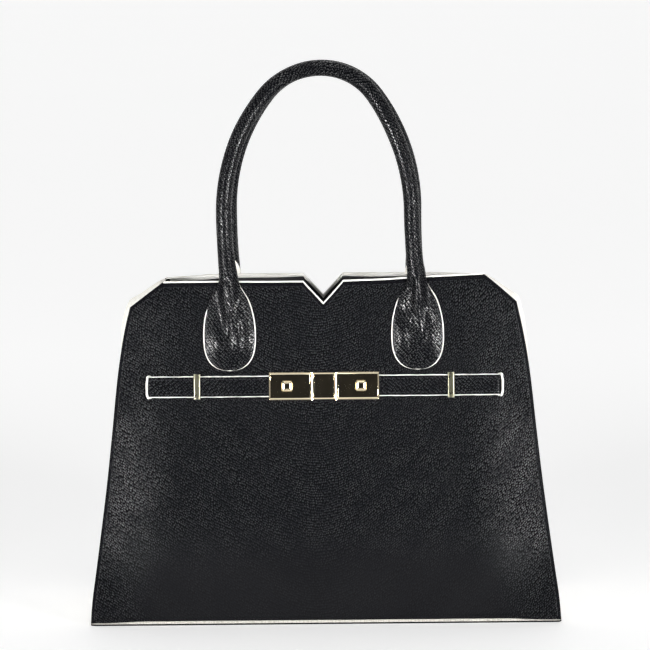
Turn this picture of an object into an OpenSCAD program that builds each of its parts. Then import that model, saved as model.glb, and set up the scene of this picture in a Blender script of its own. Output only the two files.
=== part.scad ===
// Structured top handle bag with two rolled handles, a belted front and a three-plate clasp.
// The origin is on the floor under the middle of the bag, the front faces -Y and the top is +Z.

/* [Body] */
// Width of the body at the floor
base_w = 357; // [300:1:420]
// Depth of the body at the floor, over the outer faces of the panels
base_d = 130; // [100:1:160]
// Height of the top edge above the floor
body_h = 258; // [235:1:290]
// Depth of the mouth, over the outer faces of the panels
mouth_d = 54; // [48:1:80]
// Width between the lower corners of the cut-off shoulders
shoulder_w = 295; // [285:1:300]
// Drop of the shoulders below the top edge, along the panel
shoulder_drop = 19; // [12:1:24]
// Width of the straight top edge
top_w = 244; // [230:1:256]

/* [Notch in the top edge] */
// Width of the notch at the top edge
notch_w = 30.4; // [20:0.1:40]
// Depth of the notch along the panel
notch_depth = 16.6; // [8:0.1:22]

/* [Leather, boards and lining] */
// Thickness of the leather of the front and the back panel
panel_t = 1.8; // [1.4:0.1:2.4]
// Thickness of the stiffening board behind each panel
board_t = 1.2; // [0.8:0.1:1.8]
// Thickness of the lining cloth
lining_t = 0.6; // [0.4:0.1:1]
// Thickness of the leather of the gussets
gusset_t = 1.6; // [1.2:0.1:2.2]
// How far a gusset bellies out beyond the straight line of its edge
gusset_bulge = 4.5; // [1:0.1:8]
// How far the gusset seam lies inside the edge of the panels
edge_inset = 1.2; // [0.6:0.1:2]
// Thickness of the black sole under the base
sole_t = 1; // [0.6:0.1:2]
// Thickness of the pale base panel, which shows as a line under the front
base_t = 2.5; // [2:0.1:4]
// Thickness of the board on the floor of the bag
floor_board_t = 2.4; // [1.5:0.1:3.5]
// How far the base stands proud of the panels
base_proud = 0.5; // [0.2:0.1:1]
// Radius of the upright corners of the base
base_corner_r = 3; // [1:0.5:6]

/* [Edge binding of the mouth] */
// Thickness of the binding over the top edge
cap_t = 0.6; // [0.4:0.1:1]
// Thickness of the two lips of the binding
lip_t = 0.4; // [0.3:0.1:0.6]
// Height of the lip on the outer face
outer_lip_h = 1.3; // [1:0.1:3]
// Height of the lip on the inner face
inner_lip_h = 3; // [2:0.1:6]

/* [Handles] */
// Diameter of the rolled leather tube
tube_d = 12; // [10:0.5:14]
// Distance between the middles of the two legs of a handle
handle_span = 143; // [130:1:156]
// Length of the straight part of a leg, from its neck to the arch
leg_l = 45.6; // [30:0.1:60]
// Rise of the arch above the legs, to the middle of the tube
arch_rise = 110; // [95:1:125]
// Diameter of the rope core inside the tube
core_d = 8; // [6:0.1:8.5]
// Gap between the two handles where their crowns lean together
crown_gap = 0.5; // [0.3:0.1:2]

/* [Handle tabs] */
// Greatest width of a tab
tab_w = 39.8; // [30:0.1:50]
// Height of a tab, from its lowest point to the top edge of the panel
tab_h = 68; // [50:0.5:80]
// Thickness of a tab
tab_t = 2; // [1.4:0.1:3]
// Diameter of the fold in the tab just under the handle
fold_d = 13; // [11:0.5:16]
// Diameter of the same fold at its lower end
fold_low_d = 5; // [4:0.5:8]
// Length of the fold down the tab
fold_l = 44; // [30:1:48]

/* [Belt] */
// Distance of the middle of the belt below the top edge, along the panel
belt_drop = 80; // [75:0.5:100]
// Height of the belt straps
strap_h = 16; // [12:0.1:18]
// Thickness of the belt straps
strap_t = 1.8; // [1.4:0.1:2]
// Distance of each slot from the middle of the bag
slot_x = 133.6; // [120:0.1:138]
// Width of a slot
slot_w = 3.8; // [3:0.1:6]
// Height of a slot
slot_h = 17.6; // [16.4:0.1:22]
// Length of the strap tail that lies flat inside the bag
tail_l = 14; // [8:1:18]

/* [Keepers] */
// Distance of each keeper from the middle of the bag
keeper_x = 96.5; // [80:0.1:110]
// Width of a keeper along the strap
keeper_w = 5; // [4:0.1:8]
// Thickness of the back bar of a keeper
keeper_back_t = 0.9; // [0.6:0.1:1]
// Thickness of the front bar of a keeper
keeper_front_t = 1.4; // [1:0.1:2]
// Thickness of the upper and the lower bar of a keeper
keeper_side_t = 1.5; // [1:0.1:2]
// Gap all round a strap inside its keeper
keeper_gap = 0.15; // [0.1:0.05:0.3]

/* [Clasp] */
// Width of the middle plate
centre_plate_w = 16.6; // [14:0.1:24]
// Width of each outer plate
outer_plate_w = 32; // [28:0.1:40]
// Height of the three plates
plate_h = 20; // [18.5:0.1:26]
// Thickness of the three plates, over the raised rim
plate_t = 2; // [1.8:0.1:3]
// Gap between neighbouring plates
plate_gap = 1.4; // [1.2:0.1:2]
// Width of the raised rim of a plate
rim_w = 1.1; // [0.8:0.1:2]
// Height of the raised rim of a plate
rim_h = 0.4; // [0.2:0.1:0.6]
// Thickness of the backing plates that lie on the leather
backing_t = 1.2; // [1.2:0.1:2]
// Diameter of the hinge pins
pin_d = 1.1; // [0.9:0.1:1.2]
// Diameter of the hinge knuckles
knuckle_d = 2.1; // [1.9:0.1:2.4]
// Length of each hinge knuckle
knuckle_l = 2; // [1.5:0.1:3]
// Distance of each knob from the middle of the bag
knob_x = 28; // [26:0.1:29]
// Side of the square knobs
knob_w = 8.2; // [6:0.1:10]
// Height of a knob above its plate
knob_h = 2.8; // [2:0.1:4]
// Bevel round the face of a knob
knob_bevel = 1.2; // [0.6:0.1:1.8]
// Diameter of the shank of a knob
shank_d = 3; // [2:0.1:4]

/* [Magnetic snap] */
// Diameter of each half of the snap
snap_d = 14; // [10:0.5:18]
// Thickness of each half of the snap
snap_t = 2; // [1.5:0.1:3]
// Distance of the snap below the top edge, along the panel
snap_drop = 34; // [32:1:50]

/* [Hidden] */

$fn = 72;
overrun = 5;
running_fit = 0.05;
seat_gap = 0.3;

// The wall, from its leather out to its lining, and how it leans
foot_z = sole_t + base_t;
wall_t = panel_t + board_t + lining_t;
lean = atan2((base_d - mouth_d) / 2, body_h - foot_z);
panel_l = (body_h - foot_z) / cos(lean);
shoulder_u = panel_l - shoulder_drop;

// The side of a panel runs in from the foot to the shoulder: share of the height, share of the run
side_shares = [
    [0, 1], [0.03, 0.99], [0.17, 0.865], [0.43, 0.61],
    [0.68, 0.4], [0.81, 0.285], [0.94, 0.115], [1, 0],
];
side_points = [
    for (s = side_shares)
        [shoulder_w / 2 + s[1] * (base_w - shoulder_w) / 2, s[0] * shoulder_u]
];

// Share of the gusset's belly at each of those heights, and at the top corner
belly_shares = [0, 0.05, 0.4, 0.85, 1, 1, 0.8, 0.55, 0];
gusset_columns = 8;

// Inner parts stay inside the gussets by this much
liner_inset = edge_inset + gusset_t + seat_gap;
shoulder_slope = shoulder_drop / ((shoulder_w - top_w) / 2);
shoulder_inset = liner_inset * sqrt(1 + shoulder_slope * shoulder_slope);

// Handles: a crown arc between two flatter side arcs, on straight legs. The line between the
// centres of a side arc and the crown is the long side of a three-four-five triangle.
tube_r = tube_d / 2;
leg_x = handle_span / 2;
across_share = 0.8;
up_share = 0.6;
centre_gap = (arch_rise - leg_x) / (across_share + up_share - 1);
side_r = leg_x + across_share * centre_gap;
crown_r = side_r - centre_gap;
neck_proud = tab_t;
neck_u = panel_l + tube_r + seat_gap;
neck_y = -base_d / 2 + neck_u * sin(lean) - neck_proud * cos(lean);
neck_z = foot_z + neck_u * cos(lean) + neck_proud * sin(lean);
handle_lean = asin((-neck_y - tube_r - crown_gap / 2) / (leg_l + arch_rise));
core_fit = 0.1;

// Outline of half a tab: share of its height, share of half its width
tab_shares = [
    [0, 0.12], [0.01, 0.25], [0.04, 0.45], [0.1, 0.66], [0.18, 0.83], [0.27, 0.95],
    [0.37, 1], [0.48, 0.99], [0.58, 0.95], [0.67, 0.88], [0.75, 0.8], [0.82, 0.71],
    [0.88, 0.57], [0.94, 0.44], [1, 0.38],
];

// Belt and clasp: heights above the leather
belt_u = panel_l - belt_drop;
strap_top = backing_t + strap_t;
plate_clearance = 0.2;
plate_z = strap_top + plate_clearance;
plate_top = plate_z + plate_t;
face_z = plate_top - rim_h;
hinge_x = (centre_plate_w + plate_gap) / 2;
outer_plate_x = hinge_x + plate_gap / 2;
outer_plate_end_x = outer_plate_x + outer_plate_w;
strap_cover = 7;
backing_margin = 0.5;
boss_margin = 3;
rivet_d = 2.4;
rivet_head_d = 5;
rivet_head_t = 0.8;
rivet_edge = 3;
rivet_x = outer_plate_end_x - rivet_edge;
rivet_rows = [-strap_h / 4, strap_h / 4];
disc_d = 7;
disc_t = 1.1;
disc_gap = 0.1;
disc_z = plate_z - disc_gap - disc_t;
knob_z = face_z + disc_gap;
pin_head_l = 0.8;
knuckle_gap = 0.2;
outer_knuckle_y = plate_h / 2 - knuckle_l;
inner_knuckle_y = outer_knuckle_y - knuckle_gap - knuckle_l;

// Colours
black_leather = [0.07, 0.07, 0.08];
cream_leather = [0.93, 0.9, 0.84];
edge_paint = [0.95, 0.92, 0.86];
lining_cloth = [0.12, 0.12, 0.13];
board_grey = [0.55, 0.53, 0.5];
rope_white = [0.85, 0.83, 0.78];
pale_gold = [0.87, 0.76, 0.5];
steel = [0.72, 0.73, 0.75];

// Frame on the outer face of the front panel: X right, Y up the panel, Z outwards
module on_front() {
    translate([0, -base_d / 2, foot_z])
        rotate([90 - lean, 0, 0])
            children();
}

// The same frame on the back, turned so that its X runs the other way
module on_back() {
    rotate([0, 0, 180])
        on_front()
            children();
}

// Everything under the foot of the walls, to be cut away from them
module under_foot() {
    translate([-base_w, -base_d, -body_h])
        cube([2 * base_w, 2 * base_d, body_h + foot_z]);
}

// Right half of the outline, from the foot up to the notch; the rest is its mirror image
function half_outline(top_u) = concat(
    side_points,
    [
        [top_w / 2, top_u],
        [notch_w / 2, top_u],
        [0, top_u - notch_depth],
    ]
);

// The same for the inner parts, drawn in from the sides and the shoulders
function half_liner(top_u) = concat(
    [for (p = side_points) if (p[1] < shoulder_u) [p[0] - liner_inset, p[1]]],
    [
        [shoulder_w / 2 - liner_inset, shoulder_u + shoulder_slope * liner_inset - shoulder_inset],
        [top_w / 2 + (panel_l - top_u - shoulder_inset) / shoulder_slope, top_u],
        [notch_w / 2, top_u],
        [0, top_u - notch_depth],
    ]
);

function mirrored(points) = [
    for (i = [len(points) - 1:-1:0]) if (points[i][0] > 0) [-points[i][0], points[i][1]]
];

module wall_sheet(points, from_z, thickness) {
    difference() {
        on_front()
            translate([0, 0, from_z])
                linear_extrude(thickness)
                    polygon(concat(points, mirrored(points)));
        under_foot();
    }
}

// A band along the straight top edge and the notch, with its ends drawn in
module edge_band(band_h, end_inset) {
    edge = [
        [top_w / 2 - end_inset, panel_l],
        [notch_w / 2, panel_l],
        [0, panel_l - notch_depth],
        [-notch_w / 2, panel_l],
        [end_inset - top_w / 2, panel_l],
    ];
    polygon(concat(edge, [for (i = [len(edge) - 1:-1:0]) edge[i] - [0, band_h]]));
}

// Holes that the belt and its rivets need in the front wall
module front_holes() {
    for (side = [-1, 1]) {
        translate([side * slot_x, belt_u, 0])
            cube([slot_w, slot_h, 2 * (wall_t + overrun)], center = true);
    }
    for (x = [-rivet_x, 0, rivet_x], row = rivet_rows) {
        translate([x, belt_u + row, -wall_t - overrun])
            cylinder(h = wall_t + 2 * overrun, d = rivet_d);
    }
}

module front_wall_sheet(points, from_z, thickness) {
    difference() {
        wall_sheet(points, from_z, thickness);
        on_front()
            front_holes();
    }
}

module back_wall_sheet(points, from_z, thickness) {
    rotate([0, 0, 180])
        wall_sheet(points, from_z, thickness);
}

module front_panel() {
    color(black_leather)
        front_wall_sheet(half_outline(panel_l - cap_t), -panel_t, panel_t);
}

module back_panel() {
    color(black_leather)
        back_wall_sheet(half_outline(panel_l - cap_t), -panel_t, panel_t);
}

module front_board() {
    color(board_grey)
        front_wall_sheet(half_liner(panel_l - cap_t), -panel_t - board_t, board_t);
}

module back_board() {
    color(board_grey)
        back_wall_sheet(half_liner(panel_l - cap_t), -panel_t - board_t, board_t);
}

module front_lining() {
    color(lining_cloth)
        front_wall_sheet(half_liner(panel_l - cap_t), -wall_t, lining_t);
}

module back_lining() {
    color(lining_cloth)
        back_wall_sheet(half_liner(panel_l - cap_t), -wall_t, lining_t);
}

module binding() {
    depth = wall_t + 2 * lip_t;
    translate([0, 0, -wall_t - lip_t])
        linear_extrude(depth)
            edge_band(cap_t, 0);
    linear_extrude(lip_t)
        edge_band(outer_lip_h, 0);
    translate([0, 0, -wall_t - lip_t])
        linear_extrude(lip_t)
            edge_band(inner_lip_h, liner_inset);
}

module front_binding() {
    color(edge_paint)
        on_front()
            binding();
}

module back_binding() {
    color(edge_paint)
        on_back()
            binding();
}

// A flat slab with round upright corners
module slab(width, depth, thickness, corner_r) {
    translate([-width / 2 + corner_r, -depth / 2, 0])
        cube([width - 2 * corner_r, depth, thickness]);
    translate([-width / 2, -depth / 2 + corner_r, 0])
        cube([width, depth - 2 * corner_r, thickness]);
    for (x = [-1, 1], y = [-1, 1]) {
        translate([x * (width / 2 - corner_r), y * (depth / 2 - corner_r), 0])
            cylinder(h = thickness, r = corner_r);
    }
}

module base_sole() {
    color(black_leather)
        slab(base_w + 2 * base_proud, base_d + 2 * base_proud, sole_t, base_corner_r);
}

module base_panel() {
    color(cream_leather)
        translate([0, 0, sole_t])
            slab(base_w + 2 * base_proud, base_d + 2 * base_proud, base_t, base_corner_r);
}

// Half depth between the inner faces of the leather panels, at a height above the floor
function inner_half_depth(height) =
    base_d / 2 - (height - foot_z) * tan(lean) - panel_t / cos(lean);

floor_half_d = inner_half_depth(foot_z + floor_board_t) - (board_t + lining_t) / cos(lean);
floor_half_w = side_points[1][0] - liner_inset;

module floor_board() {
    color(board_grey)
        translate([0, 0, foot_z])
            slab(2 * floor_half_w, 2 * floor_half_d, floor_board_t, base_corner_r);
}

module floor_lining() {
    cloth_half_d = floor_half_d - lining_t * tan(lean);
    color(lining_cloth)
        translate([0, 0, foot_z + floor_board_t])
            slab(2 * floor_half_w - 2 * lining_t, 2 * cloth_half_d, lining_t, base_corner_r);
}

// Path of a gusset up the side and over the shoulder, as distance from the middle and height
gusset_path = concat(
    [for (p = side_points) [p[0] - edge_inset, foot_z + p[1] * cos(lean)]],
    [[top_w / 2 - edge_inset, foot_z + (panel_l - edge_inset) * cos(lean)]]
);
last_row = len(gusset_path) - 1;

function unit(v) = v / norm(v);

// Outward direction of the path at a row; level at the foot, so that the gusset stands flat
function path_normal(i) =
    i == 0 ? [1, 0]
    : let (run = gusset_path[min(i + 1, last_row)] - gusset_path[i - 1])
        unit([run[1], -run[0]]);

// One corner of the gusset's skin: depth is 0 on the outside and 1 on the inside
function gusset_point(i, j, depth) =
    let (
        share = j / gusset_columns,
        belly = gusset_bulge * belly_shares[i] * sin(180 * share),
        p = gusset_path[i] + (belly - depth * gusset_t) * path_normal(i),
        half_d = inner_half_depth(p[1])
    )
        [p[0], (2 * share - 1) * half_d, p[1]];

// A closed sheet between an outer and an inner grid of points
module gusset_sheet() {
    columns = gusset_columns + 1;
    rows = last_row + 1;
    count = rows * columns;
    points = [
        for (depth = [0, 1], i = [0:last_row], j = [0:gusset_columns]) gusset_point(i, j, depth)
    ];
    faces = concat(
        [
            for (i = [0:last_row - 1], j = [0:gusset_columns - 1])
                let (a = i * columns + j)
                    each [[a, a + columns, a + 1], [a + 1, a + columns, a + columns + 1]]
        ],
        [
            for (i = [0:last_row - 1], j = [0:gusset_columns - 1])
                let (a = count + i * columns + j)
                    each [[a, a + 1, a + columns], [a + 1, a + columns + 1, a + columns]]
        ],
        [
            for (j = [0:gusset_columns - 1])
                let (a = j, b = count + j)
                    each [[a, a + 1, b], [a + 1, b + 1, b]]
        ],
        [
            for (j = [0:gusset_columns - 1])
                let (a = last_row * columns + j, b = count + last_row * columns + j)
                    each [[a, b, a + 1], [a + 1, b, b + 1]]
        ],
        [
            for (i = [0:last_row - 1])
                let (a = i * columns, b = count + i * columns)
                    each [[a, b, a + columns], [b, b + columns, a + columns]]
        ],
        [
            for (i = [0:last_row - 1])
                let (a = i * columns + gusset_columns, b = count + i * columns + gusset_columns)
                    each [[a, a + columns, b], [b, a + columns, b + columns]]
        ]
    );
    polyhedron(points, faces);
}

module right_gusset() {
    color(cream_leather)
        gusset_sheet();
}

module left_gusset() {
    color(cream_leather)
        rotate([0, 0, 180])
            gusset_sheet();
}

// Half of the magnetic snap, sunk face on the lining
module snap_seat() {
    translate([0, panel_l - snap_drop, -wall_t - snap_t])
        children();
}

module front_snap() {
    color(steel)
        on_front()
            snap_seat() {
                cylinder(h = snap_t, d = snap_d);
                translate([0, 0, -snap_t / 2])
                    cylinder(h = snap_t, d = snap_d / 3);
            }
}

module back_snap() {
    color(steel)
        on_back()
            snap_seat()
                difference() {
                    cylinder(h = snap_t, d = snap_d);
                    translate([0, 0, -overrun])
                        cylinder(h = overrun + snap_t / 2 + running_fit, d = snap_d / 3 + 2 * running_fit);
                }
}

// Leather patch under one leg of a handle, with the fold that the leg runs into
module tab() {
    right = [for (s = tab_shares) [s[1] * tab_w / 2, panel_l - tab_h * (1 - s[0])]];
    linear_extrude(tab_t)
        polygon(concat(right, mirrored(right)));
    difference() {
        translate([0, panel_l, 0])
            rotate([90, 0, 0])
                cylinder(h = fold_l, d1 = fold_d, d2 = fold_low_d);
        translate([-fold_d, panel_l - fold_l - overrun, -fold_d])
            cube([2 * fold_d, fold_l + 2 * overrun, fold_d]);
    }
}

// A tab at its place on a panel, rebated over the lip of the binding
module seated_tab(x) {
    difference() {
        translate([x, 0, 0])
            tab();
        translate([0, 0, -overrun])
            linear_extrude(overrun + lip_t)
                edge_band(outer_lip_h, 0);
    }
}

module front_left_tab() {
    color(black_leather)
        on_front()
            seated_tab(-leg_x);
}

module front_right_tab() {
    color(black_leather)
        on_front()
            seated_tab(leg_x);
}

module back_left_tab() {
    color(black_leather)
        on_back()
            seated_tab(leg_x);
}

module back_right_tab() {
    color(black_leather)
        on_back()
            seated_tab(-leg_x);
}

// Frame of the front handle: X right, Y up the handle, Z outwards, from the line of its necks
module on_handle() {
    translate([0, neck_y, neck_z])
        rotate([90 - handle_lean, 0, 0])
            children();
}

// A full ring lying flat, of which the handle uses a stretch
module ring(middle_r, bar_r) {
    rotate_extrude()
        translate([middle_r, 0])
            circle(bar_r);
}

// A flat field that picks one stretch of a ring
module field(points) {
    translate([0, 0, -tube_d])
        linear_extrude(2 * tube_d)
            polygon(points);
}

// A round bar along the handle, its legs starting at from_y
module handle_bar(bar_r, from_y) {
    crown_y = leg_l + arch_rise - crown_r;
    crown_edge = [across_share * side_r, crown_y + up_share * side_r];
    intersection() {
        translate([0, crown_y, 0])
            ring(crown_r, bar_r);
        field([[0, crown_y], crown_edge, [-crown_edge[0], crown_edge[1]]]);
    }
    for (side = [0, 1]) {
        mirror([side, 0, 0]) {
            intersection() {
                translate([leg_x - side_r, leg_l, 0])
                    ring(side_r, bar_r);
                field([[0, leg_l], [side_r, leg_l], crown_edge, [0, crown_y]]);
            }
            translate([leg_x, from_y, 0])
                rotate([-90, 0, 0])
                    cylinder(h = leg_l - from_y, r = bar_r);
        }
    }
}

module handle_tube() {
    difference() {
        union() {
            handle_bar(tube_r, 0);
            for (side = [-1, 1]) {
                translate([side * leg_x, 0, 0])
                    sphere(tube_r);
            }
        }
        handle_bar(core_d / 2 + core_fit, tube_d - core_fit);
    }
}

module front_handle() {
    color(black_leather)
        on_handle()
            handle_tube();
}

module back_handle() {
    color(black_leather)
        rotate([0, 0, 180])
            on_handle()
                handle_tube();
}

module front_handle_core() {
    color(rope_white)
        on_handle()
            handle_bar(core_d / 2, tube_d);
}

module back_handle_core() {
    color(rope_white)
        rotate([0, 0, 180])
            on_handle()
                handle_bar(core_d / 2, tube_d);
}

// Frame at the middle of the belt
module on_belt() {
    on_front()
        translate([0, belt_u, 0])
            children();
}

// Right strap: under its plate, along the front, in through the slot and flat inside
module strap() {
    inside_z = -wall_t - strap_t;
    end_x = outer_plate_end_x - strap_cover;
    bend_x = slot_x + strap_t / 2;
    difference() {
        union() {
            translate([end_x, -strap_h / 2, backing_t])
                cube([bend_x - end_x, strap_h, strap_t]);
            translate([bend_x - strap_t, -strap_h / 2, inside_z])
                cube([strap_t, strap_h, strap_top - inside_z]);
            translate([bend_x - tail_l, -strap_h / 2, inside_z])
                cube([tail_l, strap_h, strap_t]);
        }
        for (row = rivet_rows) {
            translate([rivet_x, row, 0])
                cylinder(h = strap_top + overrun, d = rivet_d);
        }
    }
}

module right_strap() {
    color(black_leather)
        on_belt()
            strap();
}

module left_strap() {
    color(black_leather)
        on_belt()
            mirror([1, 0, 0])
                strap();
}

// A rectangular loop that slides along the strap
module keeper() {
    inner_h = strap_h + 2 * keeper_gap;
    inner_t = strap_t + 2 * keeper_gap;
    outer_t = keeper_back_t + inner_t + keeper_front_t;
    translate([-keeper_w / 2, 0, backing_t - keeper_gap]) {
        difference() {
            translate([0, -inner_h / 2 - keeper_side_t, -keeper_back_t])
                cube([keeper_w, inner_h + 2 * keeper_side_t, outer_t]);
            translate([-overrun, -inner_h / 2, 0])
                cube([keeper_w + 2 * overrun, inner_h, inner_t]);
        }
    }
}

module right_keeper() {
    color(pale_gold)
        on_belt()
            translate([keeper_x, 0, 0])
                keeper();
}

module left_keeper() {
    color(pale_gold)
        on_belt()
            translate([-keeper_x, 0, 0])
                keeper();
}

// Right backing plate, which lies on the leather under the strap end and the outer plate
module backing_plate() {
    backing_h = plate_h + 2 * backing_margin;
    difference() {
        translate([outer_plate_x, -backing_h / 2, 0])
            cube([outer_plate_w, backing_h, backing_t]);
        for (row = rivet_rows) {
            translate([rivet_x, row, -overrun])
                cylinder(h = backing_t + 2 * overrun, d = rivet_d);
        }
    }
}

module right_backing_plate() {
    color(pale_gold)
        on_belt()
            backing_plate();
}

module left_backing_plate() {
    color(pale_gold)
        on_belt()
            mirror([1, 0, 0])
                backing_plate();
}

// The face of a plate, with a rim left standing round it
module rimmed_plate(width) {
    difference() {
        translate([0, -plate_h / 2, plate_z])
            cube([width, plate_h, plate_t]);
        translate([rim_w, -plate_h / 2 + rim_w, face_z])
            cube([width - 2 * rim_w, plate_h - 2 * rim_w, rim_h + overrun]);
    }
}

// A round bar along the hinge line, from one height up the plate to another
module hinge_bar(diameter, from_y, length) {
    translate([hinge_x, from_y, plate_top])
        rotate([-90, 0, 0])
            cylinder(h = length, d = diameter);
}

// Where knuckles start: those of the outer plate at its ends, those of the middle plate within
function knuckle_starts(y) = [y, -y - knuckle_l];

module knuckles(y, web_x) {
    web_w = abs(hinge_x - web_x);
    for (start = knuckle_starts(y)) {
        hinge_bar(knuckle_d, start, knuckle_l);
        translate([min(hinge_x, web_x), start, plate_top - knuckle_d / 2])
            cube([web_w, knuckle_l, knuckle_d / 2]);
    }
}

module knuckle_notches(y) {
    for (start = knuckle_starts(y)) {
        hinge_bar(knuckle_d + 2 * knuckle_gap, start - knuckle_gap, knuckle_l + 2 * knuckle_gap);
    }
}

module pin_bore(fit) {
    hinge_bar(pin_d + 2 * fit, -plate_h, 2 * plate_h);
}

// Middle plate on its boss, with the inner knuckles of both hinges
module centre_plate() {
    boss_w = centre_plate_w - 2 * boss_margin;
    boss_h = plate_h - 2 * boss_margin;
    color(pale_gold)
        on_belt()
            difference() {
                union() {
                    difference() {
                        translate([-centre_plate_w / 2, 0, 0])
                            rimmed_plate(centre_plate_w);
                        for (side = [0, 1]) {
                            mirror([side, 0, 0])
                                knuckle_notches(outer_knuckle_y);
                        }
                    }
                    translate([-boss_w / 2, -boss_h / 2, 0])
                        cube([boss_w, boss_h, plate_z]);
                    for (side = [0, 1]) {
                        mirror([side, 0, 0])
                            knuckles(inner_knuckle_y, hinge_x - plate_gap);
                    }
                }
                for (side = [0, 1]) {
                    mirror([side, 0, 0])
                        pin_bore(0);
                }
                for (row = rivet_rows) {
                    translate([0, row, -overrun])
                        cylinder(h = overrun + backing_t, d = rivet_d);
                }
            }
}

// Right outer plate, which opens outwards on its pin like a door
module outer_plate() {
    difference() {
        union() {
            difference() {
                translate([outer_plate_x, 0, 0])
                    rimmed_plate(outer_plate_w);
                knuckle_notches(inner_knuckle_y);
            }
            knuckles(outer_knuckle_y, hinge_x + plate_gap);
        }
        pin_bore(running_fit);
        translate([knob_x, 0, 0])
            cylinder(h = plate_top + overrun, d = shank_d + 2 * running_fit);
    }
}

module right_plate() {
    color(pale_gold)
        on_belt()
            outer_plate();
}

module left_plate() {
    color(pale_gold)
        on_belt()
            mirror([1, 0, 0])
                outer_plate();
}

// Pin through all knuckles of one side, with a small head under the plates
module hinge_pin() {
    foot_y = -plate_h / 2 - running_fit;
    hinge_bar(pin_d, foot_y, plate_h + 2 * running_fit);
    hinge_bar(pin_d + 2 * rim_h, foot_y - pin_head_l, pin_head_l);
}

module right_hinge_pin() {
    color(pale_gold)
        on_belt()
            hinge_pin();
}

module left_hinge_pin() {
    color(pale_gold)
        on_belt()
            mirror([1, 0, 0])
                hinge_pin();
}

// Square turn knob with a bevelled face, on a round shank
module knob() {
    translate([0, 0, disc_z])
        cylinder(h = knob_z - disc_z, d = shank_d);
    difference() {
        translate([-knob_w / 2, -knob_w / 2, knob_z])
            cube([knob_w, knob_w, knob_h]);
        for (turn = [0:90:270]) {
            rotate([0, 0, turn])
                translate([knob_w / 2 - knob_bevel, -knob_w, knob_z + knob_h])
                    rotate([0, 45, 0])
                        cube([knob_w, 2 * knob_w, knob_w]);
        }
    }
}

module right_knob() {
    color(pale_gold)
        on_belt()
            translate([knob_x, 0, 0])
                knob();
}

module left_knob() {
    color(pale_gold)
        on_belt()
            translate([-knob_x, 0, 0])
                knob();
}

// Retaining disc on the shank, behind the outer plate
module knob_disc() {
    translate([0, 0, disc_z])
        difference() {
            cylinder(h = disc_t, d = disc_d);
            translate([0, 0, -overrun])
                cylinder(h = disc_t + 2 * overrun, d = shank_d);
        }
}

module right_knob_disc() {
    color(pale_gold)
        on_belt()
            translate([knob_x, 0, 0])
                knob_disc();
}

module left_knob_disc() {
    color(pale_gold)
        on_belt()
            translate([-knob_x, 0, 0])
                knob_disc();
}

// A rivet from inside the bag up to a height above the leather
module rivet(top) {
    translate([0, 0, -wall_t])
        cylinder(h = wall_t + top, d = rivet_d);
    translate([0, 0, -wall_t - rivet_head_t])
        cylinder(h = rivet_head_t, d = rivet_head_d);
}

module clasp_rivets() {
    color(pale_gold)
        on_belt()
            for (row = rivet_rows) {
                translate([0, row, 0])
                    rivet(backing_t);
                for (x = [-rivet_x, rivet_x]) {
                    translate([x, row, 0])
                        rivet(strap_top);
                }
            }
}

base_sole();
base_panel();
floor_board();
floor_lining();
front_panel();
back_panel();
front_board();
back_board();
front_lining();
back_lining();
left_gusset();
right_gusset();
front_binding();
back_binding();
front_snap();
back_snap();
front_left_tab();
front_right_tab();
back_left_tab();
back_right_tab();
front_handle();
front_handle_core();
back_handle();
back_handle_core();
left_strap();
right_strap();
left_keeper();
right_keeper();
left_backing_plate();
right_backing_plate();
centre_plate();
clasp_rivets();
left_plate();
right_plate();
left_hinge_pin();
right_hinge_pin();
left_knob();
right_knob();
left_knob_disc();
right_knob_disc();
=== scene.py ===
"""Looks of the top handle bag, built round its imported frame: leather, painted edges, lining and pale gold."""

import math

import bmesh
import bpy
import numpy as np
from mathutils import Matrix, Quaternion, Vector


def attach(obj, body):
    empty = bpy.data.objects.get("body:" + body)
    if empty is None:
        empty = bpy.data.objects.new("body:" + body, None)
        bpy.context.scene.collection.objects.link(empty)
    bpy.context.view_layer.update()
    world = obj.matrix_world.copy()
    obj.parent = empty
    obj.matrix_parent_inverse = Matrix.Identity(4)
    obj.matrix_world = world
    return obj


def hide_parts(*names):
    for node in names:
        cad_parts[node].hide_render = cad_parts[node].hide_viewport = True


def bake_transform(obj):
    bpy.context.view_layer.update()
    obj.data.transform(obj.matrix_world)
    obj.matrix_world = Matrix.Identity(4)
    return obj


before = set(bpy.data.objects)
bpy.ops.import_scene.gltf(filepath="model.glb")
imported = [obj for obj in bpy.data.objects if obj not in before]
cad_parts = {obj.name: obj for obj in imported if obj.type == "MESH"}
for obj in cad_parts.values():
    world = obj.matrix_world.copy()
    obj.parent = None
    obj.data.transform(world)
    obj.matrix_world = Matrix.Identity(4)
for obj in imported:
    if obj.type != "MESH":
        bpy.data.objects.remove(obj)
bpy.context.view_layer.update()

# Sizes of the bag, in metres
BASE_W, BASE_D, BODY_H, MOUTH_D = 0.357, 0.130, 0.258, 0.054
SHOULDER_W, SHOULDER_DROP, TOP_W = 0.295, 0.019, 0.244
NOTCH_W, NOTCH_DEPTH = 0.0304, 0.0166
PANEL_T, BOARD_T, LINING_T, GUSSET_T = 0.0018, 0.0012, 0.0006, 0.0016
WALL_T = PANEL_T + BOARD_T + LINING_T
SOLE_T, BASE_T, FLOOR_BOARD_T, BASE_PROUD, BASE_CORNER_R = 0.001, 0.0025, 0.0024, 0.0005, 0.003
CAP_T, LIP_T, OUTER_LIP_H, INNER_LIP_H = 0.0006, 0.0004, 0.0011, 0.0025
EDGE_INSET, GUSSET_BULGE = 0.0012, 0.0062
LINER_INSET = EDGE_INSET + GUSSET_T + 0.0003
TUBE_R, CORE_R, LEG_X, LEG_L, ARCH_RISE, CROWN_GAP = 0.006, 0.004, 0.0715, 0.0456, 0.110, 0.0005
TAB_W, TAB_H, TAB_T = 0.0398, 0.068, 0.002
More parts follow.
